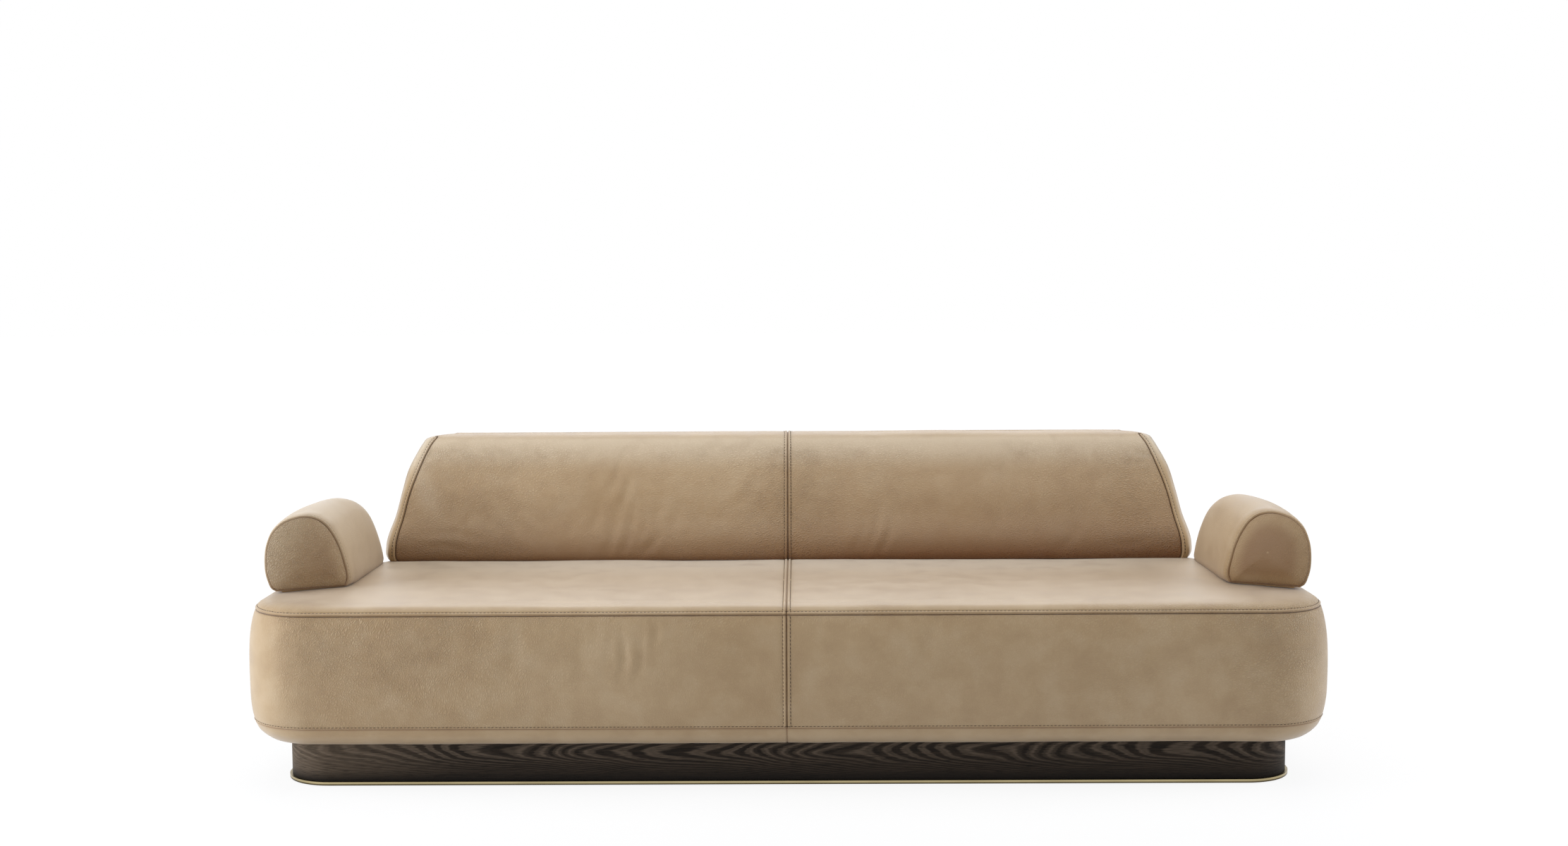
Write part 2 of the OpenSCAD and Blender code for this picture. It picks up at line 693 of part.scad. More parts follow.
// The space for the back frame, open at the foot of the back. It stands between the
// back's front at the frame's top and the back's rear at its foot, and its first share
// is the foam in front of it. The second is how far it runs into the rear corner's bend.
back_front_foam_share = 0.57;
back_frame_bend_share = 0.22;
back_frame_top_z = back_top_z - back_frame_cover;
frame_top_front_y = foot_y + back_lean * lookup(
    (back_frame_top_z - rest_z) / (back_top_z - rest_z), [for (s = back_level_shares) [s[0], s[1]]]);
foot_rear_y = half_d - back_inset - back_level_shares[0][2] * back_rear_edge;
frame_front_y = frame_top_front_y
    + back_front_foam_share * (foot_rear_y - frame_top_front_y - back_frame_t);
frame_rear_y = frame_front_y + back_frame_t;
frame_half_w = rear_centre_x + back_frame_bend_share * back_r;
pocket_half_n = 4;
// Places of the back's outline at which its foot turns to the next corner of the space
pocket_turns = [2, back_seam_place + len(back_end_shares) + 3, back_half_n - 2];

// Corners of the space for the back frame, round both halves
function pocket(z) = let (
    x = frame_half_w + fit_gap,
    low = frame_front_y - fit_gap,
    high = frame_rear_y + fit_gap)
    [for (q = both_halves([[seam_gap / 2, low], [x, low], [x, high], [seam_gap / 2, high]]))
        [q.x, q.y, z]];
function pocket_corner(j) = j < back_half_n
    ? len([for (t = pocket_turns) if (j >= t) t])
    : 2 * pocket_half_n - 1 - pocket_corner(back_n - 1 - j);

module back_foam() {
    walls = concat(pocket(back_frame_top_z + fit_gap), pocket(rest_z));
    rings = back_rings(foam_depth);
    mouth = 2 * pocket_half_n;
    start = len(walls);
    foot = [for (j = [0:back_n - 1]) each let (
        k = (j + 1) % back_n,
        a = mouth + pocket_corner(j),
        b = mouth + pocket_corner(k))
        concat([[a, start + j, start + k]], a == b ? [] : [[a, start + k, b]])];
    color(foam) polyhedron(points = concat(walls, flat_list(rings)), faces = concat(
        turned(whole_cap(pocket_half_n)),
        band(0, 1, 0, mouth, mouth),
        foot,
        shift(band(0, len(rings) - 1, 0, back_n, back_n), start),
        shift(whole_cap(back_half_n), start + (len(rings) - 1) * back_n)));
}

back_skin = flat_list(back_rings(0));
back_under = flat_list(back_rings(leather_t));
back_top_start = (back_last + 1) * back_n;

module back_leather_right() {
    color(leather) sheet(back_skin, back_under, concat(
        band(0, back_last + 1, 0, back_seam_place, back_n),
        shift(zip(0, back_half_n - 1), back_top_start)));
}
module back_leather_left() {
    color(leather) sheet(back_skin, back_under, concat(
        band(0, back_last + 1, back_n - 1 - back_seam_place, back_n - 1, back_n),
        shift(zip(back_half_n, back_n - 1), back_top_start)));
}
module back_rear_leather_right() {
    color(leather) sheet(back_skin, back_under,
        band(0, back_last, back_seam_place + 1, back_half_n - 1, back_n));
}
module back_rear_leather_left() {
    color(leather) sheet(back_skin, back_under,
        band(0, back_last, back_half_n, back_n - 2 - back_seam_place, back_n));
}

rib_count = 5;
rail_deep = back_frame_t - back_panel_t - fit_gap;

module back_rail(z) {
    color(pine) translate([-frame_half_w, frame_front_y, z])
        cube([2 * frame_half_w, rail_deep, rail_t]);
}
module back_bottom_rail() { back_rail(rest_z); }
module back_top_rail() { back_rail(back_frame_top_z - rail_t); }
module back_ribs() {
    low = rest_z + rail_t + fit_gap;
    color(ply) for (k = [0:rib_count - 1])
        translate([-frame_half_w + k * (2 * frame_half_w - rib_t) / (rib_count - 1),
            frame_front_y, low])
            cube([rib_t, rail_deep, back_frame_top_z - rail_t - fit_gap - low]);
}
module back_closing_panel() {
    color(ply) translate([-frame_half_w, frame_rear_y - back_panel_t, rest_z])
        cube([2 * frame_half_w, back_panel_t, back_frame_top_z - rest_z]);
}

// Section of an arm from the foot of its inner side over the top to the outer foot,
// as shares of its width and height; the place that comes twice is the outer seam
arm_section_shares = [
    [0.027, 0], [0.005, 0.05], [0.03, 0.35], [0.088, 0.568], [0.154, 0.724],
    [0.247, 0.87], [0.363, 0.962], [0.5, 1], [0.648, 0.984], [0.797, 0.919],
    [0.907, 0.805], [0.973, 0.643], [0.973, 0.643], [1, 0.438], [0.973, 0.168],
    [0.923, 0.043], [0.874, 0]];
arm_seam_place = 11;
arm_centre_shares = [0.5, 0.45];
// Rings of the front panel as shares: size and dome
arm_front_shares = [[0.4, 0.92], [0.78, 0.55], [1, 0]];
// Rings of the cover as shares: place along the arm, draw at the front seam,
// height, and push of the inner side clear of the back
arm_wrap_shares = [
    [0, 1, 1, 0], [0.09, 0.15, 1.005, 0], [0.35, 0, 1.04, 0], [0.57, 0, 1.01, 0],
    [0.67, 0, 0.94, 0], [0.76, 0, 0.815, 0], [0.84, 0, 0.6, 0.09], [0.91, 0, 0.33, 0.29],
    [0.965, 0, 0.12, 0.67], [1, 0, 0.05, 1]];
// How far the tail of an arm reaches past the foot of the back, and its distance from it
arm_tail_run = 24;
arm_tail_clear = 6;
arm_tail_y = foot_y + arm_tail_run;
arm_tail_push = back_end_x + arm_tail_clear - arm_inner_x;
arm_line = [for (k = [0:len(arm_section_shares) - 1]) let (s = arm_section_shares[k])
    [arm_inner_x + s[0] * arm_w,
     rest_z + s[1] * arm_h - (k == arm_seam_place + 1 ? seam_gap : 0)]];
arm_centre = [arm_inner_x + arm_centre_shares[0] * arm_w, rest_z + arm_centre_shares[1] * arm_h];
arm_n = len(arm_section_shares);
arm_front_slope = (arm_front_outer - arm_front_inner) / arm_w;
arm_front_normal = [arm_front_slope, -1] / norm([arm_front_slope, -1]);

function arm_front_y(x) = -half_d + arm_front_inner + arm_front_slope * (x - arm_inner_x);

// Raises the lowest places of a ring to the floor height, along the ring's own line
function lifted(ring, floor_z) = [for (j = [0:arm_n - 1]) let (
    p = ring[j],
    q = ring[j < arm_n / 2 ? j + 1 : j - 1])
    j == 0 || j == arm_n - 1 || max(p.z, q.z) <= floor_z
        ? [p.x, p.y, floor_z]
        : p.z >= floor_z ? p : p + (q - p) * (floor_z - p.z) / (q.z - p.z)];

// Point of the front panel at a place of its section, domed and then set back
function arm_front_point(p, dome, depth) = [
    p.x + dome * arm_front_normal.x,
    arm_front_y(p.x) + dome * arm_front_normal.y + depth / -arm_front_normal.y,
    p.y];

// Rings of the front panel at a depth under it, no lower than the floor height
function arm_front_rings(depth, floor_z) = let (
    seam = [for (k = [0:arm_n - 1])
        arm_line[k] - (arm_seam_inset + depth) * line_normal(arm_line, k)],
    flat = lifted([for (q = seam) [q.x, 0, q.y]], floor_z))
    [for (s = arm_front_shares) [for (q = flat) arm_front_point(
        arm_centre + s[0] * ([q.x, q.z] - arm_centre), s[1] * arm_dome, depth)]];

// Rings of the cover: its outer side follows the seat's fullest line round to the tail
arm_wrap_rings = [for (s = arm_wrap_shares) let (inner_x = arm_inner_x + s[3] * arm_tail_push)
    [for (k = [0:arm_n - 1]) let (
        n = line_normal(arm_line, k),
        line_y = (1 - s[0]) * arm_front_y(arm_line[k].x) + s[0] * arm_tail_y,
        across = (arm_line[k].x - arm_inner_x) / arm_w,
        x = inner_x + across * (side_x(line_y, arm_inset) - inner_x) - s[1] * arm_seam_inset * n.x,
        z = rest_z + s[2] * (arm_line[k].y - rest_z) - s[1] * arm_seam_inset * n.y)
        [x, (1 - s[0]) * arm_front_y(x) + s[0] * arm_tail_y, max(z, rest_z)]]];
arm_wrap_end = len(arm_wrap_rings) - 1;

// Outward normal of the cover at ring k, place j; both edges of the seam share one
function arm_wrap_normal(k, j) = let (
    ring = arm_wrap_rings[k],
    before = max(j == arm_seam_place + 1 ? j - 2 : j - 1, 0),
    after = min(j == arm_seam_place ? j + 2 : j + 1, arm_n - 1),
    along = arm_wrap_rings[min(k + 1, arm_wrap_end)][j] - arm_wrap_rings[max(k - 1, 0)][j],
    n = cross(ring[after] - ring[before], along))
    n / norm(n);

// Ring k of the cover at a depth under it; the first keeps clear of the front panel
function arm_cover_ring(k, depth, floor_z) = lifted([for (j = [0:arm_n - 1]) let (
    p = arm_wrap_rings[k][j] - depth * arm_wrap_normal(k, j))
    k == 0
        ? [p.x, arm_front_y(p.x) + seam_gap + depth / -arm_front_normal.y, p.z]
        : p], floor_z);

function middle(ring) = [for (i = [0:2]) let (v = [for (p = ring) p[i]]) (max(v) + min(v)) / 2];

// Points of an arm up to ring end of the cover, with the middles of its two ends last
function arm_points(depth, floor_z, end) = let (
    cover = [for (k = [0:end]) arm_cover_ring(k, depth, floor_z)])
    concat(flat_list(arm_front_rings(depth, floor_z)), flat_list(cover),
        [arm_front_point(arm_centre, arm_dome, depth), middle(cover[end])]);

arm_panel_last = len(arm_front_shares) - 1;
arm_last = arm_panel_last + len(arm_wrap_shares);
// The foam ends where the tail of the arm has become too low for it
arm_foam_end = arm_wrap_end - 3;

function arm_front_middle(end) = (arm_panel_last + end + 2) * arm_n;
function arm_front_fan(end) = [for (j = [0:arm_n - 1])
    [arm_front_middle(end), j, (j + 1) % arm_n]];
function arm_tail_fan(end, js) = let (ring = arm_front_middle(end) - arm_n) [for (j = js)
    [arm_front_middle(end) + 1, ring + (j + 1) % arm_n, ring + j]];
arm_skin = arm_points(0, rest_z, arm_wrap_end);
arm_under = arm_points(leather_t, rest_z, arm_wrap_end);

module arm_foam_side() {
    color(foam) polyhedron(
        points = arm_points(foam_depth, rest_z + arm_board_t + fit_gap, arm_foam_end),
        faces = concat(
            band(0, arm_panel_last + 1 + arm_foam_end, 0, arm_n, arm_n),
            arm_front_fan(arm_foam_end),
            arm_tail_fan(arm_foam_end, [0:arm_n - 1])));
}
module arm_foam_right() { arm_foam_side(); }
module arm_foam_left() { mirror([1, 0, 0]) arm_foam_side(); }

module arm_leather_side() {
    color(leather) sheet(arm_skin, arm_under, concat(
        band(arm_panel_last + 1, arm_last, 0, arm_seam_place, arm_n),
        arm_tail_fan(arm_wrap_end, [0:arm_seam_place - 1])));
}
module arm_leather_right() { arm_leather_side(); }
module arm_leather_left() { mirror([1, 0, 0]) arm_leather_side(); }

module arm_outer_panel_side() {
    color(leather) sheet(arm_skin, arm_under, concat(
        band(arm_panel_last + 1, arm_last, arm_seam_place + 1, arm_n - 1, arm_n),
        arm_tail_fan(arm_wrap_end, [arm_seam_place + 1:arm_n - 2])));
}
module arm_outer_panel_right() { arm_outer_panel_side(); }
module arm_outer_panel_left() { mirror([1, 0, 0]) arm_outer_panel_side(); }

module arm_front_panel_side() {
    color(leather) sheet(arm_skin, arm_under, concat(
        band(0, arm_panel_last, 0, arm_n, arm_n), arm_front_fan(arm_wrap_end)));
}
module arm_front_panel_right() { arm_front_panel_side(); }
module arm_front_panel_left() { mirror([1, 0, 0]) arm_front_panel_side(); }

// How far the base board of an arm stands in from the foot of its leather
board_in = arm_seam_inset + foam_depth + leather_t;
board_steps = 10;

module arm_base_board_side() {
    low_x = arm_line[0].x + board_in;
    high_x = arm_line[arm_n - 1].x - board_in;
    rear_inset = half_w - high_x;
    color(ply) translate([0, 0, rest_z]) linear_extrude(arm_board_t) polygon(concat(
        [[low_x, arm_front_y(low_x) + board_in], [high_x, arm_front_y(high_x) + board_in]],
        [for (i = [board_steps:-1:0]) let (x = low_x + (high_x - low_x) * i / board_steps)
            [x, rear_y(x, rear_inset)]]));
}
module arm_base_board_right() { arm_base_board_side(); }
module arm_base_board_left() { mirror([1, 0, 0]) arm_base_board_side(); }

glides();
trim_front();
trim_left();
trim_right();
trim_rear();
plinth_front_board();
plinth_corner_left();
plinth_corner_right();
plinth_side_board_left();
plinth_side_board_right();
plinth_rear_board();
plinth_battens();
plinth_glue_blocks();
plinth_bolts();
tee_nuts();
base_panel();
frame_front_rail();
frame_rear_rail();
frame_side_rail_left();
frame_side_rail_right();
frame_cross_rails();
frame_corner_blocks();
webbing_lengthwise();
webbing_crosswise();
seat_foam_pad();
foam_border_front();
foam_border_left();
foam_border_right();
foam_border_rear();
seat_top_leather_left();
seat_top_leather_right();
seat_side_leather_left();
seat_side_leather_right();
under_band_leather_left();
under_band_leather_right();
back_foam();
back_bottom_rail();
back_top_rail();
back_ribs();
back_closing_panel();
back_leather_left();
back_leather_right();
back_rear_leather_left();
back_rear_leather_right();
arm_base_board_left();
arm_base_board_right();
arm_foam_left();
arm_foam_right();
arm_leather_left();
arm_leather_right();
arm_front_panel_left();
arm_front_panel_right();
arm_outer_panel_left();
arm_outer_panel_right();
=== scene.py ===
"""Low leather sofa, dressed round its packed construction.

The upholstery is lofted ring by ring over the lines of the construction, drawn in
and gathered at its seams, and stitched. The oak plinth and its brass trim take
their finishes here. Lengths are metres, the sofa faces -Y and stands on z = 0.
"""

import logging
import math
from dataclasses import dataclass, field
from enum import Enum

import bpy
import numpy as np
from mathutils import Matrix, Vector


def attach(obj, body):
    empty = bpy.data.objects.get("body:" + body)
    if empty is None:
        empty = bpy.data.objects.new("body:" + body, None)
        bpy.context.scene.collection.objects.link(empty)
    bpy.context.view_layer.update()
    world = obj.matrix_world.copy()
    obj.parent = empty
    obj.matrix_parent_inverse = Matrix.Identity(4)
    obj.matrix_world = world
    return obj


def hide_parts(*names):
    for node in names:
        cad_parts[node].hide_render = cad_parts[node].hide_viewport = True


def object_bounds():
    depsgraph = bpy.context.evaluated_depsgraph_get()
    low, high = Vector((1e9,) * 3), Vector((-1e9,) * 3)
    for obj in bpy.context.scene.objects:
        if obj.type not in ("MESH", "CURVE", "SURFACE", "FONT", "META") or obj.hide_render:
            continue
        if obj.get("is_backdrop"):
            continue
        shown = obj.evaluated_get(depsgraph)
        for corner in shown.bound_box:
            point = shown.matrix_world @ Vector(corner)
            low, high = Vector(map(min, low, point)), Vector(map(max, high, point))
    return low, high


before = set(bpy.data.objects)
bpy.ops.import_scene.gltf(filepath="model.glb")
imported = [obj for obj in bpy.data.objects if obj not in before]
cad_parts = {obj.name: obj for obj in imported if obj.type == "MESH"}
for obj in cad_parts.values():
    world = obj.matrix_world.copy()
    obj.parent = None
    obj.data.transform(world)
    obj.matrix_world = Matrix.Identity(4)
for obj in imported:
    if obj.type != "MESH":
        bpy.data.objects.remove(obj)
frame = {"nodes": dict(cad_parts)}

LOG = logging.getLogger("sofa")
MM = 0.001
BODY = "root"
CAD_LOW, CAD_HIGH = (Vector(corner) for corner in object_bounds())


# Numbers and curves


def smooth_step(low: float, high: float, x: np.ndarray) -> np.ndarray:
    """Rises from 0 at low to 1 at high with level ends."""
    t = np.clip((np.asarray(x, float) - low) / (high - low), 0.0, 1.0)
    return t * t * (3.0 - 2.0 * t)


def bell(x: np.ndarray, centre: float, half_w: float) -> np.ndarray:
    """1 at a centre, falling off on both sides of it."""
    return np.exp(-(((x - centre) / half_w) ** 2))


def fall(distance: np.ndarray, reach: float) -> np.ndarray:
    """1 at no distance, and about a third of it at reach."""
    return np.exp(-distance / reach)


def cell_value(cells: np.ndarray, seed: int) -> np.ndarray:
    """Even pseudo-random number from -1 to 1 for each whole cell.

    Args:
        cells: Whole numbers, three to a cell.
        seed: Picks one of many such patterns.
    """
    c = cells.astype(np.int64).astype(np.uint32)
    h = c[..., 0] * np.uint32(374761393) + c[..., 1] * np.uint32(668265263)
    h = h + c[..., 2] * np.uint32(2246822519) + np.uint32(seed) * np.uint32(3266489917)
    h = (h ^ (h >> np.uint32(13))) * np.uint32(1274126177)
    h = h ^ (h >> np.uint32(16))
    return h.astype(float) / 0x7FFFFFFF - 1.0


def soft_noise(points: np.ndarray, size: float, seed: int) -> np.ndarray:
    """Smooth noise from about -1 to 1.

    Args:
        points: Places in space, three numbers each.
        size: Size of one swell, in metres.
        seed: Picks the pattern.

    Returns:
        One number for each place.
    """
    q = points / size
    cell = np.floor(q)
    f = q - cell
    w = f * f * (3.0 - 2.0 * f)
    total = np.zeros(points.shape[:-1])
    for corner in np.ndindex(2, 2, 2):
        c = np.array(corner)
        share = np.prod(np.where(c == 1, w, 1.0 - w), axis=-1)
        total += share * cell_value(cell + c, seed)
    return total


def line_noise(along: np.ndarray, size: float, seed: int) -> np.ndarray:
    """Smooth noise that varies only along a seam."""
    along = np.asarray(along, float)
    flat = np.zeros(along.shape + (3,))
    flat[..., 0] = along
    return soft_noise(flat, size, seed)


def smooth_table(knots: np.ndarray, rows: np.ndarray, at: np.ndarray) -> np.ndarray:
    """Smooth values between the rows of a table.

    Args:
        knots: Rising place of each row.
        rows: The rows of values.
        at: Places to read the table at.

    Returns:
        One row of values for each place.
    """
    knots, rows, at = (np.asarray(a, float) for a in (knots, rows, at))
    gaps = np.diff(knots)
    slopes = np.diff(rows, axis=0) / gaps[:, None]
    tangents = np.empty_like(rows)
    tangents[0], tangents[-1] = slopes[0], slopes[-1]
    before, after = gaps[:-1, None], gaps[1:, None]
    tangents[1:-1] = (after * slopes[:-1] + before * slopes[1:]) / (before + after)
    k = np.clip(np.searchsorted(knots, at, side="right") - 1, 0, len(gaps) - 1)
    g = gaps[k][:, None]
    t = ((at - knots[k]) / gaps[k])[:, None]
    return (
        (2 * t**3 - 3 * t**2 + 1) * rows[k]
        + (t**3 - 2 * t**2 + t) * g * tangents[k]
        + (3 * t**2 - 2 * t**3) * rows[k + 1]
        + (t**3 - t**2) * g * tangents[k + 1]
    )


def chord_places(points: np.ndarray) -> np.ndarray:
    """Distance of each point from the first, along the chords."""
    steps = np.linalg.norm(np.diff(points, axis=0), axis=1)
    return np.concatenate([[0.0], np.cumsum(steps)])


@dataclass(frozen=True)
class Line:
    """A smooth line through a few points."""

    points: np.ndarray

    @property
    def length(self) -> float:
        """Length along the chords."""
        return float(chord_places(self.points)[-1])

    def at(self, places: np.ndarray) -> np.ndarray:
        """Points of the line at distances from its start."""
        return smooth_table(chord_places(self.points), self.points, places)


# Rows beside a seam, where the leather turns in, and the plain stride elsewhere
SEAM_ROWS = np.array([0, 0.5, 1.1, 1.8, 2.7, 3.8, 5, 6.2, 7.3, 8.1, 8.9, 10, 12, 15, 19, 24, 30]) * MM
STRIDE = 8 * MM
# How far the painted shade of a seam and of a middle joint reaches
SEAM_SHADE = 2.2 * MM
JOINT_SHADE = 1.8 * MM
# Farther from a seam than any of its relief
OUT_OF_REACH = 9.0


def stations(length: float, seam_first: bool = True, seam_last: bool = True) -> np.ndarray:
    """Distances at which a panel has rows, close together beside its seams.

    Args:
        length: Width of the panel.
        seam_first: Whether a seam lies at its start.
        seam_last: Whether a seam lies at its end.
    """
    low = SEAM_ROWS if seam_first else np.array([0.0])
    high = length - SEAM_ROWS[::-1] if seam_last else np.array([length])
    if low[-1] > high[0]:
        low = low[low < length / 2]
        high = high[high > length / 2]
    room = high[0] - low[-1]
    count = max(1, round(room / STRIDE))
    between = low[-1] + room * np.arange(1, count) / count
    return np.concatenate([low, between, high])


# Leather as it lies beside a seam


class SeamSide(Enum):
    """How the leather lies on one side of a seam."""

    PLAIN = "turned in"
    RAISED = "turned in over the seam's own edges, and stitched down"
    FINE = "turned in a little"


@dataclass(frozen=True)
class Seam:
    """Relief of a sewn seam, by the distance from it."""

    groove_depth: float = 3.6 * MM
    groove_half_w: float = 1.4 * MM
    strip_rise: float = 1.5 * MM
    strip_centre: float = 4.4 * MM
    strip_half_w: float = 2.7 * MM
    stitch_line: float = 8.1 * MM
    stitch_dent: float = 1.0 * MM
    stitch_half_w: float = 1.1 * MM
    shoulder_drop: float = 1.1 * MM
    shoulder_run: float = 11 * MM

    @property
    def row(self) -> int:
        """Row beside the seam that its stitches lie on."""
        return int(np.argmin(np.abs(SEAM_ROWS - self.stitch_line)))

    def relief(self, distance: np.ndarray, side: SeamSide) -> np.ndarray:
        """Height of the leather over its plain surface, at distances from the seam."""
        d = np.abs(distance)
        groove = -self.groove_depth * bell(d, 0.0, self.groove_half_w)
        if side is SeamSide.FINE:
            return 0.5 * groove - 0.5 * MM * fall(d, self.shoulder_run)
        if side is SeamSide.PLAIN:
            return groove - self.shoulder_drop * fall(d, 0.5 * self.shoulder_run)
        strip = self.strip_rise * bell(d, self.strip_centre, self.strip_half_w)
        dent = -self.stitch_dent * bell(d, self.stitch_line, self.stitch_half_w)
        past = np.maximum(d - self.stitch_line, 0.0)
        shoulder = -self.shoulder_drop * fall(past, self.shoulder_run)
        shoulder *= smooth_step(self.stitch_line - MM, self.stitch_line + MM, d)
        return groove + strip + dent + shoulder

    def sides(self, on_first: np.ndarray, distance: np.ndarray, first: SeamSide) -> np.ndarray:
        """Relief of a seam that is raised where the leather isn't on its first side."""
        return np.where(on_first, self.relief(distance, first), self.relief(distance, SeamSide.RAISED))

    def gathers(self, along: np.ndarray, distance: np.ndarray, seed: int) -> np.ndarray:
        """Small puckers that run off the stitch line, square to the seam."""
        d = np.maximum(np.abs(distance) - self.stitch_line, 0.0)
        near = smooth_step(0.6 * self.stitch_line, 1.3 * self.stitch_line, np.abs(distance))
        where = smooth_step(-0.3, 0.8, line_noise(along, 190 * MM, seed + 1))
        short = line_noise(along, 11 * MM, seed) * fall(d, 12 * MM)
        wide = line_noise(along, 27 * MM, seed + 2) * fall(d, 34 * MM)
        return near * (0.25 + 0.75 * where) * (0.5 * MM * short + 0.7 * MM * wide)


@dataclass(frozen=True)
class Fold:
    """A soft crease between two places of a panel, as (x, height)."""

    start: tuple[float, float]
    end: tuple[float, float]
    depth: float
    half_w: float

    def relief(self, x: np.ndarray, z: np.ndarray) -> np.ndarray:
        """Depth of the crease, with a low swell on each side of it."""
        a = np.array(self.start) * MM
        run = np.array(self.end) * MM - a
        length = float(np.hypot(*run))
        t = ((x - a[0]) * run[0] + (z - a[1]) * run[1]) / length**2
        arch = np.sin(math.pi * np.clip(t, 0, 1))
        off = ((x - a[0]) * run[1] - (z - a[1]) * run[0]) / length + 0.06 * length * arch
        w = self.half_w * MM
        over = length * np.maximum(np.maximum(-t, t - 1.0), 0.0)
        taper = bell(over, 0.0, 2.5 * w) * (0.35 + 0.65 * arch)
        shape = -bell(off, 0.0, w) + 0.45 * bell(np.abs(off), 1.9 * w, w)
        return self.depth * MM * shape * taper


# Meshes of rings


@dataclass
class Skin:
    """A closed skin of rings, each a row of points that go round it."""

    points: np.ndarray

    def normals(self) -> np.ndarray:
        """Outward directions at the points."""
        p = self.points
        along = np.roll(p, -1, axis=1) - np.roll(p, 1, axis=1)
        up = np.gradient(p, axis=0)
        n = np.cross(along, up)
        size = np.linalg.norm(n, axis=-1, keepdims=True)
        return n / np.maximum(size, 1e-12)

    def pushed(self, height: np.ndarray) -> "Skin":
        """The skin with each point moved outwards."""
        return Skin(self.points + self.normals() * height[..., None])

    def row_places(self) -> np.ndarray:
        """Distance of each ring from the first, as most of its points have it."""
        steps = np.linalg.norm(np.diff(self.points, axis=0), axis=-1)
        return np.concatenate([[0.0], np.cumsum(np.median(steps, axis=1))])


def zip_faces(start: int, count: int, up: bool) -> list[tuple[int, ...]]:
    """Faces that close a ring across from its front half to its rear half.

    Args:
        start: Number of the ring's first point, at the middle of its front.
        count: Points of the ring, a multiple of four.
        up: Whether the faces look the way that the rings go.
    """
    faces = []
    half = count // 2
    for j in range(half // 2):
        for low, high in ((j, half - j), (half + j, count - j)):
            quad = [start + low, start + low + 1, start + high - 1, start + high % count]
            unique = list(dict.fromkeys(quad))
            faces.append(tuple(unique if up else unique[::-1]))
    return faces


def fan_faces(start: int, count: int, middle: int, up: bool) -> list[tuple[int, ...]]:
    """Faces that close a ring with a fan about one point."""
    fan = [(middle, start + j, start + (j + 1) % count) for j in range(count)]
    return fan if up else [face[::-1] for face in fan]


def band_faces(rows: int, count: int) -> list[tuple[int, ...]]:
    """Faces between rings of one count of points."""
    k, j = np.meshgrid(np.arange(rows - 1), np.arange(count), indexing="ij")
    a = k * count + j
    b = k * count + (j + 1) % count
    return np.stack([a, b, b + count, a + count], axis=-1).reshape(-1, 4).tolist()


def closed_faces(rows: int, count: int) -> list[tuple[int, ...]]:
    """Faces of rings, of which the first and the last are closed across."""
    ends = zip_faces((rows - 1) * count, count, up=True) + zip_faces(0, count, up=False)
    return band_faces(rows, count) + ends


def new_piece(name: str, points: np.ndarray, faces: list) -> bpy.types.Object:
    """Makes a smooth mesh piece at the origin.

    Args:
        name: Name of the piece.
        points: Its points.
        faces: Its faces, by numbers of points.

    Returns:
        The new object, in the scene.
    """
    mesh = bpy.data.meshes.new(name)
    mesh.from_pydata(np.asarray(points).reshape(-1, 3).tolist(), [], faces)
    mesh.update()
    mesh.shade_smooth()
    piece = bpy.data.objects.new(name, mesh)
    bpy.context.scene.collection.objects.link(piece)
    return piece


def give_attribute(piece: bpy.types.Object, name: str, values: np.ndarray) -> None:
    """Stores one number for each point of a piece."""
    attribute = piece.data.attributes.new(name, "FLOAT", "POINT")
    data = np.zeros(len(piece.data.vertices), np.float32)
    flat = np.asarray(values, np.float32).ravel()
    data[: len(flat)] = flat
    attribute.data.foreach_set("value", data)


def declare(piece: bpy.types.Object, nodes: tuple[str, ...] = ()) -> bpy.types.Object:
    """Gives a piece its body, hides the nodes that it stands for, and logs it with their names."""
    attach(piece, BODY)
    if nodes:
        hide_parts(*nodes)
    LOG.info("%s: %d faces, for %s", piece.name, len(piece.data.polygons), nodes or "no node")
    return piece


# Finishes


Socket = bpy.types.NodeSocket
Input = Socket | float | tuple | str


def linear(hex_colour: str) -> tuple[float, float, float, float]:
    """Linear colour of an sRGB hex value."""
    parts = [int(hex_colour[k : k + 2], 16) / 255 for k in (1, 3, 5)]
    return (*(c / 12.92 if c <= 0.04045 else ((c + 0.055) / 1.055) ** 2.4 for c in parts), 1.0)


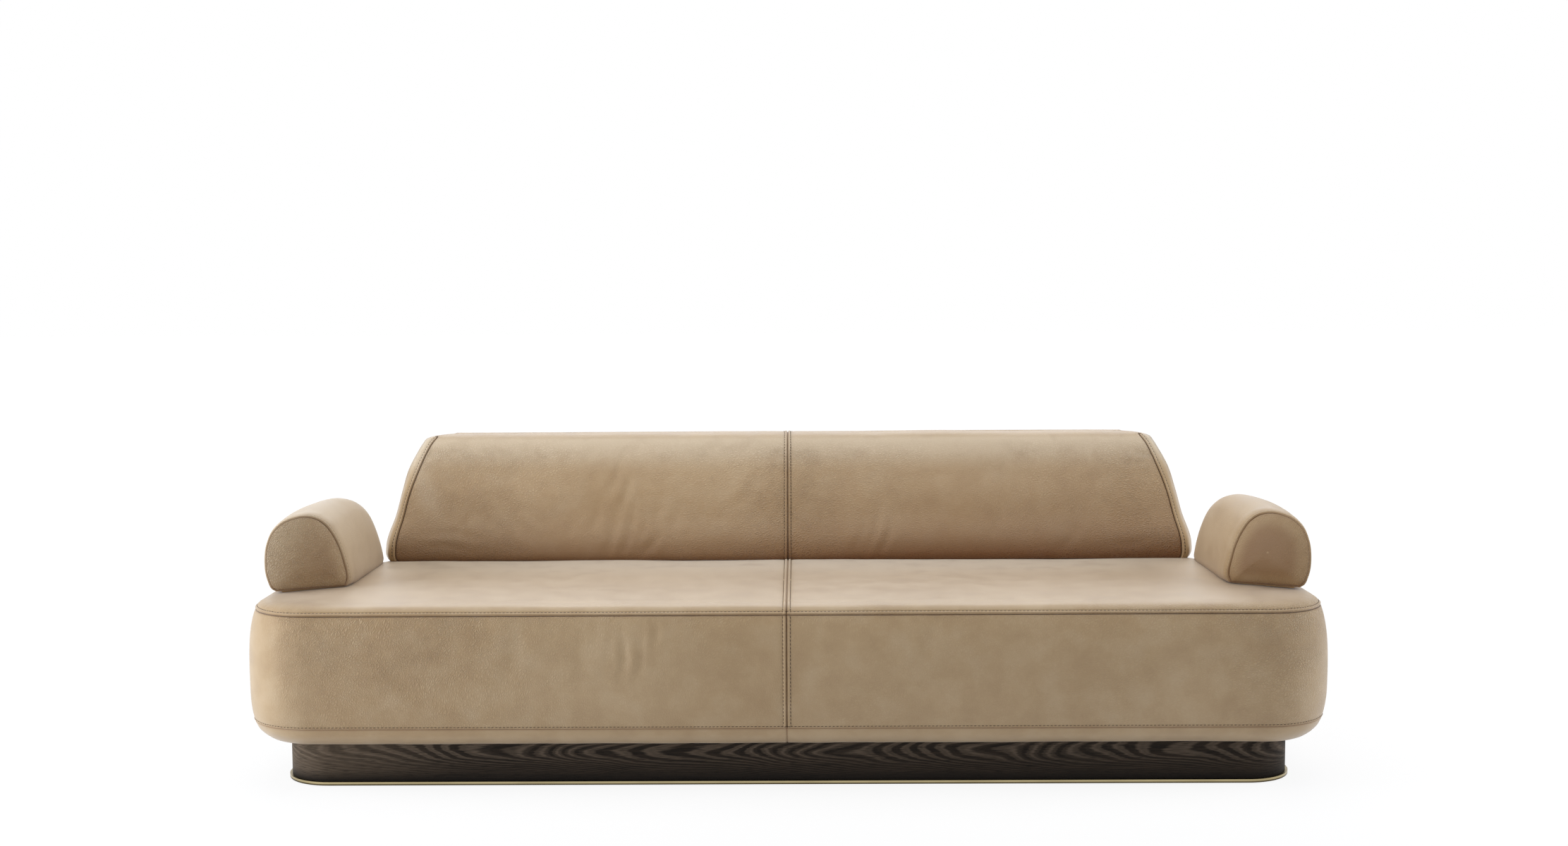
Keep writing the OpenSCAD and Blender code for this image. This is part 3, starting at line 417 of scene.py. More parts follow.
@dataclass(frozen=True)
class Graph:
    """The shader nodes of a material or a world."""

    tree: bpy.types.NodeTree

    def fill(self, node: bpy.types.Node, inputs: dict[str | int, Input]) -> None:
        """Gives a node its inputs: a socket to link from, a value, or a colour in hex."""
        for name, value in inputs.items():
            if isinstance(value, Socket):
                self.tree.links.new(value, node.inputs[name])
            else:
                node.inputs[name].default_value = linear(value) if isinstance(value, str) else value

    def node(self, kind: str, inputs: dict[str | int, Input] | None = None, **settings) -> bpy.types.Node:
        """Adds a node.

        Args:
            kind: Blender's name for its kind, after the ShaderNode that all of them start with.
            inputs: What goes into it, by the input's name or number.
            settings: Properties of the node.

        Returns:
            The new node.
        """
        made = self.tree.nodes.new(f"ShaderNode{kind}")
        for name, value in settings.items():
            setattr(made, name, value)
        self.fill(made, inputs or {})
        return made

    def place(self) -> Socket:
        """The place on the piece, in metres."""
        return self.node("TexCoord").outputs["Object"]

    def stored(self, name: str) -> Socket:
        """A number that the piece stores at its points."""
        return self.node("Attribute", attribute_name=name).outputs["Fac"]

    def number(self, operation: str, *values: Input) -> Socket:
        """Result of an operation on numbers."""
        return self.node("Math", dict(enumerate(values)), operation=operation).outputs[0]

    def times(self, *values: Input) -> Socket:
        """One number times another, plus a third where there is one."""
        return self.number("MULTIPLY_ADD" if len(values) == 3 else "MULTIPLY", *values)

    def spread(
        self, value: Input, low: float, high: float, first: float = 0.0, last: float = 1.0, **settings
    ) -> Socket:
        """Goes from first to last while the value goes from low to high."""
        ends = {"Value": value, 1: low, 2: high, 3: first, 4: last}
        return self.node("MapRange", ends, **settings).outputs[0]

    def blend(self, share: Input, low: Input, high: Input) -> Socket:
        """Goes from one colour to another."""
        return self.node("Mix", {0: share, 6: low, 7: high}, data_type="RGBA").outputs[2]

    def stretched(self, place: Socket, scale: tuple[float, float, float]) -> Socket:
        """Places multiplied along each axis."""
        return self.node("Mapping", {"Vector": place, "Scale": scale}).outputs[0]

    def noise(self, place: Socket, scale: float = 1.0, detail: float = 2.0, roughness: float = 0.5) -> Socket:
        """Soft noise from 0 to 1."""
        inputs = {"Vector": place, "Scale": scale, "Detail": detail, "Roughness": roughness}
        return self.node("TexNoise", inputs).outputs["Fac"]

    def cell_edge(self, place: Socket, size: float) -> Socket:
        """Distance from the edge of the nearest of many cells of a size."""
        inputs = {"Vector": place, "Scale": 1 / size, "Randomness": 1.0}
        return self.node("TexVoronoi", inputs, feature="DISTANCE_TO_EDGE").outputs["Distance"]

    def bump(self, height: Socket, distance: float) -> Socket:
        """Surface directions of a relief that is a distance high where the height is 1."""
        return self.node("Bump", {"Height": height, "Distance": distance}).outputs[0]

    def seen(self) -> Socket:
        """1 for rays from the camera, straight, mirrored or through glass, and 0 for the others."""
        path = self.node("LightPath").outputs
        seen = self.number("MAXIMUM", path["Is Camera Ray"], path["Is Glossy Ray"])
        return self.number("MAXIMUM", seen, path["Is Transmission Ray"])


@dataclass(frozen=True)
class Finish:
    """A finish, by the name of what it is made of."""

    name: str

    def start(self) -> tuple[bpy.types.Material, Graph, bpy.types.Node]:
        """A plain material of this name, its nodes, and its surface shader."""
        material = bpy.data.materials.new(self.name)
        material.use_nodes = True
        return material, Graph(material.node_tree), material.node_tree.nodes["Principled BSDF"]


@dataclass(frozen=True)
class AnilineLeather(Finish):
    """Soft aniline cowhide: dyed through and unpainted, so its tone clouds a little
    from place to place, with a waxy sheen and a pebbled grain that creases into short
    slanting ridges where the hide is pulled."""

    light: str = "#b59b77"
    middle: str = "#aa8f6a"
    dark: str = "#8d6d48"
    worn_and_highlit: str = "#cebb9f"
    shadow: str = "#683c11"
    roughness: float = 0.42
    sheen: float = 0.28
    sheen_roughness: float = 0.45
    # The ridges of the grain and the pebbles on them, drawn coarser than real so that they show
    ridge_size: float = 4.1 * MM
    ridge_stretch: float = 1.9
    ridge_lean: float = math.radians(30)
    lying_stretch: float = 2.3
    lying_lean: float = math.radians(78)
    pebble_size: float = 2.4 * MM
    # Height of the pebbles where the hide is pulled, beside the ridges', and everywhere
    pebble_shares: tuple[float, float] = (0.22, 0.05)
    grain_depth: float = 0.95 * MM
    crease_share: float = 0.42
    cloud_size: float = 310 * MM
    # The ridges swing slowly over the hide and waver along their length: (size of a swell, reach)
    swing: tuple[float, float] = (170 * MM, 80 * MM)
    waver: tuple[float, float] = (9 * MM, 3.4 * MM)
    # The grain comes and goes in spots of this size
    spot_size: float = 34 * MM

    def material(self) -> bpy.types.Material:
        """The leather, whose ridges, tone, painted shade and painted highlight also follow what its piece
        stores.
        """
        material, graph, shader = self.start()
        place = graph.place()
        # The tone clouds slowly, and in smaller patches the hide is rubbed pale or left browner
        cloud = graph.noise(place, 1 / self.cloud_size, 4.0)
        patch = graph.noise(place, 1 / (0.2 * self.cloud_size), 3.0, 0.55)
        base = graph.blend(graph.spread(cloud, 0.32, 0.68), self.middle, self.light)
        # The hide is rubbed pale in patches, and takes painted highlight where its piece stores it
        wear_and_highlight = graph.number("MAXIMUM", graph.spread(patch, 0.48, 0.8, 0.0, 0.25), graph.stored("painted_highlight"))
        base = graph.blend(wear_and_highlight, base, self.worn_and_highlit)
        base = graph.blend(graph.spread(patch, 0.5, 0.2, 0.0, 0.3), base, self.dark)
        # Painted shade that the piece stores: in seams and joints, at feet, and over shaded faces
        base = graph.blend(graph.stored("deep"), base, self.shadow)

        wavered = self.warp(graph, self.warp(graph, place, *self.swing), *self.waver)
        leaning = self.ridges(graph, wavered, self.ridge_lean, self.ridge_stretch)
        lying = self.ridges(graph, wavered, self.lying_lean, self.lying_stretch)
        ridge = graph.node("Mix", {0: graph.stored("level"), 2: leaning, 3: lying}).outputs[0]
        pebble = graph.spread(graph.cell_edge(wavered, self.pebble_size), 0.0, 0.3)
        amount = graph.spread(graph.noise(place, 1 / self.spot_size), 0.3, 0.62, 0.65, 1.0)
        pulled = graph.times(graph.stored("gathered"), amount)
        pebbled = graph.times(pulled, *self.pebble_shares)
        height = graph.times(pebble, pebbled, graph.times(ridge, pulled))

        # The creases between the ridges are darker
        crease = graph.times(graph.number("SUBTRACT", 1.0, ridge), pulled)
        base = graph.blend(graph.times(crease, self.crease_share), base, self.dark)
        gloss = graph.spread(patch, 0.3, 0.7, self.roughness - 0.04, self.roughness + 0.06)
        bump = graph.bump(height, self.grain_depth)
        graph.fill(shader, {"Base Color": base, "Roughness": gloss, "Normal": bump, "IOR": 1.5,
                            "Sheen Weight": self.sheen, "Sheen Roughness": self.sheen_roughness})
        return material

    def ridges(self, graph: Graph, place: Socket, lean: float, stretch: float) -> Socket:
        """Rounded ridges with narrow creases between them.

        Args:
            graph: The material's nodes.
            place: Places on the hide.
            lean: Turn of the ridges from upright, towards +X.
            stretch: Their length as a multiple of their width.

        Returns:
            Their height, from 0 in a crease to 1.
        """
        inputs = {"Vector": place, "Rotation": (0.0, lean, 0.0), "Scale": (1.0, 1.0, stretch)}
        turned = graph.node("Mapping", inputs, vector_type="TEXTURE").outputs[0]
        edge = graph.cell_edge(turned, self.ridge_size)
        return graph.spread(edge, 0.0, 0.33, interpolation_type="SMOOTHSTEP")

    @staticmethod
    def warp(graph: Graph, place: Socket, size: float, reach: float) -> Socket:
        """Places moved about by soft noise.

        Args:
            graph: The material's nodes.
            place: The places to move.
            size: Size of one swell of the noise.
            reach: How far the noise moves a place from end to end.
        """
        noise = graph.node("TexNoise", {"Vector": place, "Scale": 1 / size, "Detail": 1.0}).outputs["Color"]
        inputs = {0: noise, 1: (reach, reach, reach), 2: place}
        return graph.node("VectorMath", inputs, operation="MULTIPLY_ADD").outputs[0]


@dataclass(frozen=True)
class WaxedThread(Finish):
    """Dark brown waxed polyester upholstery thread: twisted, with a slight shine."""

    low: str = "#3f3021"
    high: str = "#57442f"
    twist_size: float = 0.8 * MM

    def material(self) -> bpy.types.Material:
        """The thread, with its twist as a fine bump."""
        material, graph, shader = self.start()
        twist = graph.noise(graph.place(), 1 / self.twist_size)
        graph.fill(shader, {"Base Color": graph.blend(twist, self.low, self.high),
                            "Normal": graph.bump(twist, 0.2 * MM), "Roughness": 0.55})
        return material


@dataclass(frozen=True)
class FumedOak(Finish):
    """Oak fumed dark and oiled: open grain that runs the length of the board, with
    cathedral figure where the saw cut the rings flat."""

    centre: tuple[float, float] | None = None
    radius: float = 0.0
    offset: float = 0.0
    flame_z: float = 84 * MM
    flame_h: float = 21 * MM
    flame_pitch: float = 58 * MM
    # How many rings the flames wander and the fibres fray by, and the share of the finer rings
    wander: float = 8.5
    fray: float = 0.45
    finer_share: float = 0.35
    late_wood: str = "#18120c"
    early_wood: str = "#62564a"
    painted_left_light: str = "#8c7a66"
    fibre_lit: str = "#54463a"
    pore_dark: str = "#0f0a07"
    painted_foot_shade: str = "#0b0705"
    # The oil leaves hardly any shine
    shine: float = 0.14

    def material(self) -> bpy.types.Material:
        """The oak; on a bent board its grain follows the bend about centre."""
        material, graph, shader = self.start()
        x, y, z = graph.node("SeparateXYZ", {0: graph.place()}).outputs
        along, into = (x, y) if self.centre is None else self.round_bend(graph, x, y)
        shifted = graph.number("ADD", along, self.offset)
        board = graph.node("CombineXYZ", {0: shifted, 1: into, 2: z}).outputs[0]

        # The saw meets the rings as nested flames about one line, and as long streaks away from it
        wander = graph.noise(graph.stretched(board, (1.0, 1.0, 5.0)), 2.2)
        off_line = graph.number("DIVIDE", graph.number("SUBTRACT", z, self.flame_z), self.flame_h)
        run = graph.number("DIVIDE", shifted, self.flame_pitch)
        flame = graph.number("SUBTRACT", run, graph.times(off_line, off_line))
        fibre = graph.noise(graph.stretched(board, (7.0, 60.0, 330.0)), 1.0, 3.0, 0.6)
        rings = graph.times(fibre, self.fray, graph.times(wander, self.wander, flame))
        wave, finer = (graph.number("SINE", graph.times(rings, turn * math.pi)) for turn in (2, 6.2))
        wave = graph.times(finer, self.finer_share, wave)
        # The figure is weaker towards the floor
        figured = graph.spread(z, 44 * MM, 74 * MM, 0.3, 1.0)
        early = graph.times(graph.spread(wave, -0.7, 1.2), figured)
        pore = graph.spread(graph.noise(graph.stretched(board, (28.0, 500.0, 700.0)), 1.0, 1.0), 0.56, 0.7)

        # Over the rings lie painted light on the left end, the fibres, the pores and painted shade at the
        # foot
        base = graph.blend(early, self.late_wood, self.early_wood)
        # Painted light on the left end of the plinth
        base = graph.blend(graph.spread(x, -0.75, -1.1, 0.0, 0.3), base, self.painted_left_light)
        base = graph.blend(graph.spread(fibre, 0.4, 0.75, 0.0, 0.35), base, self.fibre_lit)
        base = graph.blend(graph.times(pore, 0.7), base, self.pore_dark)
        # Painted shade above the brass, near black at the foot
        base = graph.blend(graph.spread(z, 38 * MM, 15 * MM, 0.0, 0.92), base, self.painted_foot_shade)
        height = graph.number("SUBTRACT", graph.times(fibre, 0.5), pore)
        graph.fill(shader, {"Base Color": base, "Normal": graph.bump(height, 0.25 * MM), "Roughness": 0.62,
                            "Specular IOR Level": self.shine})
        return material

    def round_bend(self, graph: Graph, x: Socket, y: Socket) -> tuple[Socket, Socket]:
        """Distances along and into a bent board, from places in plan."""
        dx = graph.number("SUBTRACT", x, self.centre[0])
        dy = graph.number("SUBTRACT", y, self.centre[1])
        along = graph.times(graph.number("ARCTAN2", dy, dx), self.radius)
        away = graph.number("SQRT", graph.times(dx, dx, graph.times(dy, dy)))
        return along, graph.number("SUBTRACT", self.centre[1], away)


@dataclass(frozen=True)
class SatinBrass(Finish):
    """Solid brass bar, brushed along its length and lacquered: pale gold, with soft edges
    to its reflections, and painted shade along its foot and along its top, where it meets the oak."""

    bright: str = "#b3a57f"
    dull: str = "#978a68"
    painted_floor_shade: str = "#33291a"
    painted_gap_shade: str = "#6f6347"

    def material(self) -> bpy.types.Material:
        """The brass."""
        material, graph, shader = self.start()
        place = graph.place()
        brushed = graph.noise(graph.stretched(place, (30.0, 30.0, 900.0)))
        tone = graph.spread(graph.noise(place, 9.0, 3.0), 0.4, 0.7, 0.0, 0.5)
        height = graph.node("SeparateXYZ", {0: place}).outputs[2]
        base = graph.blend(tone, self.bright, self.dull)
        # Painted shade on the lower part of the bar, towards the floor
        base = graph.blend(graph.spread(height, 7.4 * MM, 5.2 * MM, 0.0, 0.9), base, self.painted_floor_shade)
        # Painted shade along the top of the bar, in the gap under the oak
        base = graph.blend(graph.spread(height, 10.4 * MM, 11 * MM, 0.0, 0.45), base, self.painted_gap_shade)
        graph.fill(shader, {"Base Color": base, "Roughness": graph.spread(brushed, 0.0, 1.0, 0.24, 0.38),
                            "Normal": graph.bump(brushed, 0.05 * MM), "Metallic": 1.0})
        return material


@dataclass(frozen=True)
class PlainGrain(Finish):
    """A sawn or moulded stuff of the hidden construction, streaked along one axis."""

    low: str = "#c8a877"
    high: str = "#dcc194"
    stretch: tuple[float, float, float] = (3.0, 60.0, 60.0)
    roughness: float = 0.6
    metallic: float = 0.0
    relief: float = 0.3 * MM

    def material(self) -> bpy.types.Material:
        """The finish."""
        material, graph, shader = self.start()
        grain = graph.noise(graph.stretched(graph.place(), self.stretch), 1.0, 4.0)
        base = graph.blend(graph.spread(grain, 0.35, 0.65), self.low, self.high)
        graph.fill(shader, {"Base Color": base, "Normal": graph.bump(grain, self.relief),
                            "Roughness": self.roughness, "Metallic": self.metallic})
        return material


# Stitching


@dataclass
class Stitching:
    """Rows of single stitches, sewn along lines on the leather."""

    thread: bpy.types.Material
    pitch: float = 8.6 * MM
    length: float = 6.6 * MM
    radius: float = 1.0 * MM
    sink: float = 0.0
    slant: float = math.radians(9)
    # The straight run and each end are shares of a stitch; an end dives by radii, and narrows
    straight_share: float = 0.62
    end_share: float = 0.19
    end_dive: float = 1.3
    end_narrow: float = 0.5

    def one_stitch(self) -> tuple[np.ndarray, list[tuple[int, ...]]]:
        """Models one stitch along X: a short round thread whose ends dive into the leather.

        Returns:
            Its points and its faces.
        """
        bpy.ops.object.select_all(action="DESELECT")
        straight = self.straight_share * self.length
        bpy.ops.mesh.primitive_cylinder_add(
            vertices=6, radius=self.radius, depth=straight, rotation=(0, math.pi / 2, 0)
        )
        stitch = bpy.context.active_object
        bpy.ops.object.transform_apply(location=False, rotation=True, scale=False)
        for end in (-1, 1):
            bpy.ops.object.mode_set(mode="EDIT")
            bpy.ops.mesh.select_all(action="DESELECT")
            bpy.ops.object.mode_set(mode="OBJECT")
            for face in stitch.data.polygons:
                face.select = face.normal.x * end > 0.9
            bpy.ops.object.mode_set(mode="EDIT")
            bpy.ops.mesh.select_mode(type="FACE")
            move = (self.end_share * self.length * end, 0, -self.end_dive * self.radius)
            bpy.ops.mesh.extrude_region_move(TRANSFORM_OT_translate={"value": move})
            bpy.ops.transform.resize(value=(1, self.end_narrow, self.end_narrow))
            bpy.ops.object.mode_set(mode="OBJECT")
        points = np.array([v.co for v in stitch.data.vertices], float)
        faces = [tuple(face.vertices) for face in stitch.data.polygons]
        bpy.data.objects.remove(stitch)
        return points, faces

    def sew(self, name: str, lines: list[tuple[np.ndarray, np.ndarray]]) -> bpy.types.Object:
        """Sews rows of stitches as one piece.

        Args:
            name: Name of the piece.
            lines: For each row, its points and the leather's outward directions there.

        Returns:
            The new piece.
        """
        shape, faces = self.one_stitch()
        all_points, all_faces = [], []
        for points, ups in lines:
            places = chord_places(points)
            count = int(places[-1] // self.pitch)
            first = (places[-1] - (count - 1) * self.pitch) / 2
            at = first + self.pitch * np.arange(count)
            near = self.pitch / 4
            for s in at:
                here, ahead, back = (self.read(places, points, s + d) for d in (0, near, -near))
                up = self.read(places, ups, s)
                along = (ahead - back) / np.linalg.norm(ahead - back)
                side = np.cross(up, along)
                side /= np.linalg.norm(side)
                up = np.cross(along, side)
                turned = along * math.cos(self.slant) + side * math.sin(self.slant)
                axes = np.stack([turned, np.cross(up, turned), up])
                start = len(all_points) * len(shape)
                all_points.append(shape @ axes + here - self.sink * up)
                all_faces += [tuple(v + start for v in face) for face in faces]
        piece = new_piece(name, np.concatenate(all_points), all_faces)
        piece.data.materials.append(self.thread)
        return declare(piece)

    @staticmethod
    def read(places: np.ndarray, values: np.ndarray, at: float) -> np.ndarray:
        """Value of a row of vectors at a distance along it."""
        return np.array([np.interp(at, places, values[:, k]) for k in range(3)])


# Upholstery


@dataclass
class Upholstery:
    """What every padded form needs: its leather, and the stitching on it."""

    leather: bpy.types.Material
    stitching: Stitching

    def cover(
        self, name: str, points: np.ndarray, faces: list, marks: dict[str, np.ndarray], nodes: tuple[str, ...]
    ) -> bpy.types.Object:
        """Makes the padded form as a piece.

        Args:
            name: Name of the piece.
            points: Its points.
            faces: Its faces, by numbers of points.
            marks: What the leather's finish reads at the points, by name.
            nodes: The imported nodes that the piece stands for.

        Returns:
            The new piece.
        """
        piece = new_piece(name, points, faces)
        for mark, values in marks.items():
            give_attribute(piece, mark, values)
        piece.data.materials.append(self.leather)
        return declare(piece, nodes)


@dataclass
class SeatUpholstery(Upholstery):
    """The seat: a deep padded platform with half-moon ends, seamed round its top edge
    and low on its side, and joined at the middle."""

    half_w: float = CAD_HIGH.x
    half_d: float = CAD_HIGH.y
    front_corner_r: float = 165 * MM
    rear_corner_r: float = 700 * MM
    crown: float = 5 * MM
    under_z: float = 104.3 * MM
    frame_inset: float = 65.7 * MM
    pad_bottom_z: float = 285.6 * MM
    sitting_depth: float = 670 * MM
    crown_half_w: float = 900 * MM
    spine_half_w: float = 596 * MM
    # The top closes towards its spine in this many rings, and stops at this share of the way
    lid_rings: int = 45
    lid_reach: float = 0.985
    seam: Seam = field(default_factory=Seam)
    low_seam: Seam = Seam(groove_depth=2.6 * MM, strip_rise=0.4 * MM, strip_centre=2.6 * MM,
                          strip_half_w=1.5 * MM, stitch_line=5.0 * MM, shoulder_drop=0.6 * MM)
    # The edge that turns up inside the foot, as (inset, rise)
    turned_in: tuple = ((100 * MM, 2.3 * MM), (100 * MM, 0.6 * MM), (98.5 * MM, 0.0), (80 * MM, 0.0))
    # The side as (inset, height), seam by seam, in millimetres
    under_line: tuple = ((60.3, 104.3), (47, 108.4), (35.8, 115.3), (26, 123.4), (18.1, 132.2), (9, 150))
    side_line: tuple = ((9, 150), (5, 171), (2, 193.9), (0.2, 240), (0, 285.3), (1.2, 318), (3.7, 346.7),
                        (10.2, 383.5), (17, 408))
    top_line: tuple = ((17, 408), (23.9, 418.9), (32, 424.1), (42.2, 426.9), (60, 428.6), (80, 429))
    front_folds: tuple[Fold, ...] = (
        Fold((-371, 372), (-373, 272), 2.9, 9), Fold((-328, 344), (-330, 284), 2.4, 7),
        Fold((-294, 388), (-297, 340), 2.3, 7), Fold((-349, 334), (-350, 268), -1.2, 7),
        Fold((-411, 392), (-413, 340), -1.3, 9), Fold((-312, 392), (-313, 354), -1.1, 6),
        Fold((-460, 350), (-470, 250), 1.2, 16), Fold((-600, 380), (-640, 250), 1.5, 18),
        Fold((330, 390), (300, 300), 1.5, 15), Fold((820, 385), (790, 290), 1.5, 14),
        Fold((-900, 300), (-840, 220), 1.3, 16),
    )
    # Where the band is pulled: place along X, half width, amount, and the share of it low down
    band_pulls: tuple = ((-0.90, 0.30, 0.85, 0.3), (1.15, 0.14, 0.75, 0.2))
    # Distance from the middle at which the top's front corners are tucked, and how far round it
    tuck_x: float = 1.13
    tuck_half_w: float = 0.09
    # The front lies ahead of this
    front_y: float = -0.3
    # The seat takes a painted highlight towards the rear and on its top; its grain lies down low on the right
    highlight_y: tuple[float, float] = (-0.12, 0.14)
    highlight_z: tuple[float, float] = (0.42, 0.427)
    highlight_share: float = 0.95
    lying_x: tuple[float, float] = (0.4, 0.8)
    lying_z: tuple[float, float] = (0.37, 0.3)

    @property
    def rear_centre(self) -> tuple[float, float]:
        """Centre of the right rear corner."""
        return self.half_w - self.rear_corner_r, self.half_d - self.rear_corner_r

    @property
    def front_centre(self) -> tuple[float, float]:
        """Centre of the right front corner."""
        return self.half_w - self.front_corner_r, self.front_corner_r - self.half_d

    @property
    def runs(self) -> np.ndarray:
        """Lengths of the half outline's stretches, from the front's middle to the rear's."""
        return np.array([
            self.front_centre[0], self.front_corner_r * math.pi / 2,
            self.rear_centre[1] - self.front_centre[1], self.rear_corner_r * math.pi / 2,
            self.rear_centre[0],
        ])

    def outline(self, inset: float, places: np.ndarray) -> np.ndarray:
        """Points of the right half of the outline at an inset.

        Args:
            inset: Distance from the fullest line.
            places: Distances along the fullest line from the middle of the front.
        """
        starts = np.concatenate([[0.0], np.cumsum(self.runs)])
        (fx, fy), (rx, ry) = self.front_centre, self.rear_centre
        part = np.clip(np.searchsorted(starts, places, side="right") - 1, 0, 4)
        s = places - starts[part]
        front = s / self.front_corner_r - math.pi / 2
        rear = s / self.rear_corner_r
        front_r, rear_r = self.front_corner_r - inset, self.rear_corner_r - inset
        side_x, end_y = np.full_like(s, self.half_w - inset), np.full_like(s, self.half_d - inset)
        xs = [s, fx + front_r * np.cos(front), side_x, rx + rear_r * np.cos(rear), rx - s]
        ys = [-end_y, fy + front_r * np.sin(front), fy + s, ry + rear_r * np.sin(rear), end_y]
        return np.stack([np.choose(part, xs), np.choose(part, ys)], axis=-1)

    def columns(self) -> np.ndarray:
        """Distances of the columns of one half, an odd count so that its halves pair."""
        places = stations(float(self.runs.sum()))
        if len(places) % 2 == 0:
            middle = len(places) // 2
            places = np.insert(places, middle, (places[middle - 1] + places[middle]) / 2)
        return places

    def rings(self, profile: np.ndarray, places: np.ndarray) -> np.ndarray:
        """Rings of the whole outline, one for each (inset, height)."""
        rows = []
        for inset, z in profile:
            half = self.outline(inset, places)
            ring = np.concatenate([half, half[-2:0:-1] * [-1, 1]])
            rows.append(np.column_stack([ring, np.full(len(ring), z)]))
        return np.array(rows)

    def crown_at(self, x: np.ndarray, y: np.ndarray) -> np.ndarray:
        """Rise of the seat top over its flat height."""
        foot = self.sitting_depth - self.half_d
        middle = (foot - self.half_d) / 2
        share = np.clip(1 - (x / self.crown_half_w) ** 2, 0, 1)
        return self.crown * share * np.clip(1 - ((y - middle) / (foot - middle)) ** 2, 0, 1)

    def build(self) -> None:
        """Makes the padded seat and its stitching."""
        places = self.columns()
        lines = (self.under_line, self.side_line, self.top_line)
        under, side, top = (Line(np.array(line) * MM) for line in lines)
        under_rows = under.length - stations(under.length, seam_last=False)[::-1]
        side_rows = stations(side.length)
        top_rows = stations(top.length, seam_last=False)
        turned_in = np.array(self.turned_in) + [0.0, self.under_z]
        profile = np.concatenate([turned_in, under.at(under_rows), side.at(side_rows[1:]),
                                  top.at(top_rows[1:])])
        seam_low = len(turned_in) + len(under_rows) - 1
        seam_high = seam_low + len(side_rows) - 1
        rows = self.rings(profile, places)
        points = np.concatenate([rows, self.lid(rows[-1])])
        raised = points[len(rows) - 1 :]
        raised[..., 2] += self.crown_at(raised[..., 0], raised[..., 1])

        skin = Skin(points)
        height, gathered, deep = self.relief(skin, places, seam_low, seam_high)
        skin = skin.pushed(height)
        x, y, z = np.moveaxis(skin.points, -1, 0)
        # Painted highlight towards the rear and on the top
        painted_highlight = self.highlight_share * smooth_step(*self.highlight_y, y) * smooth_step(*self.highlight_z, z)
        lying = smooth_step(*self.lying_x, x) * smooth_step(*self.lying_z, z)
        hollow = self.rings(np.array([[self.frame_inset, self.pad_bottom_z],
                                      [self.frame_inset, self.under_z + 2.4 * MM]]), places)
        whole = np.concatenate([hollow, skin.points])
        unseen = np.zeros(hollow.shape[:2])
        marks = {"gathered": gathered, "deep": deep, "painted_highlight": painted_highlight, "level": lying}
        marks = {name: np.concatenate([unseen, values]) for name, values in marks.items()}
        parts, halves = ("seat_top", "seat_side", "under_band"), ("left", "right")
        nodes = [f"{part}_leather_{half}" for part in parts for half in halves]
        borders = [f"foam_border_{at}" for at in ("front", "left", "right", "rear")]
        piece = self.cover("seat_upholstery", whole, closed_faces(*whole.shape[:2]), marks,
                           (*nodes, "seat_foam_pad", *borders))
        self.sew(skin, places, seam_low, seam_high)

    def lid(self, edge: np.ndarray) -> np.ndarray:
        """Rings that close the top from its edge towards its spine."""
        spine_y = (self.sitting_depth / 2) - self.half_d
        spine_x = np.clip(edge[:, 0], -self.spine_half_w, self.spine_half_w)
        spine = np.stack([spine_x, np.full(len(edge), spine_y), edge[:, 2]], axis=-1)
        shares = (np.arange(1, self.lid_rings + 1) / self.lid_rings * self.lid_reach)[:, None, None]
        return edge + shares * (spine - edge)

    def relief(self, skin: Skin, places: np.ndarray, low: int, high: int) -> tuple[np.ndarray, ...]:
        """Works out how the leather lies over the plain form.

        Args:
            skin: The plain form.
            places: Distances of the columns of one half.
            low: Row of the low seam.
            high: Row of the seam round the top edge.

        Returns:
            Its height at the points, how gathered it is, and how much painted shade it takes.
        """
        p = skin.points
        x, z = p[..., 0], p[..., 2]
        across = np.abs(x)
        rows = np.arange(len(p))[:, None]
        above, on_band = rows > high, (rows > low) & (rows < high)
        at = skin.row_places()[:, None]
        d_low, d_high = np.abs(at - at[low]), np.abs(at - at[high])
        nearest = np.minimum(d_low, d_high)
        along = np.concatenate([places, 2 * places[-1] - places[-2:0:-1]])

        # The two seams that go round, and the joint of the halves between them
        height = np.zeros(p.shape[:2])
        height += (self.low_seam.sides(rows <= low, d_low, SeamSide.FINE)
                   + self.seam.sides(rows <= high, d_high, SeamSide.PLAIN))
        fade = smooth_step(0.0, 3 * MM, d_low) * smooth_step(0.0, 3 * MM, d_high)
        height += self.seam.sides(rows < low, across, SeamSide.FINE) * fade
        height += self.seam.gathers(along, d_high, 3)
        height += 0.6 * self.seam.gathers(along, d_low, 11)

        # Tucks at the front corners, soft swells all over, and the folds of the front
        ahead = p[..., 1] < self.front_y
        tuck = bell(across, self.tuck_x, self.tuck_half_w) * ahead * fall(d_high, 22 * MM) * above
        tuck = tuck * smooth_step(6 * MM, 11 * MM, d_high)
        height += 1.7 * MM * tuck * line_noise(along, 7 * MM, 21)
        height += 1.6 * MM * soft_noise(p, 230 * MM, 5) * smooth_step(4 * MM, 60 * MM, nearest)
        height += 0.6 * MM * soft_noise(p * [1, 1, 0.5], 70 * MM, 6) * smooth_step(4 * MM, 40 * MM, nearest)
        facing = (p[..., 1] < -self.half_d + 25 * MM) & on_band
        for fold in self.front_folds:
            height += fold.relief(x, z) * facing

        # The grain draws into ridges on the pulled parts of the band and beside the front's seam
        upper = smooth_step(0.15, 0.37, z)
        pulled = np.zeros(height.shape)
        for place, half_w, amount, low_share in self.band_pulls:
            pulled += amount * bell(x, place, half_w) * (low_share + (1 - low_share) * upper)
        pulled += 0.22 + 0.16 * soft_noise(p, 180 * MM, 8) + 0.25 * fall(d_high, 30 * MM)
        gathered = on_band * pulled * (1 - smooth_step(1.12, 1.2, -x))
        near_seam = fall(np.maximum(d_high - 8 * MM, 0), 26 * MM) * above * ahead
        gathered += near_seam * (0.55 * smooth_step(0.55, 0.8, x) + 0.3 * bell(x, 0.2, 0.1))
        gathered += 0.06 + 0.6 * tuck
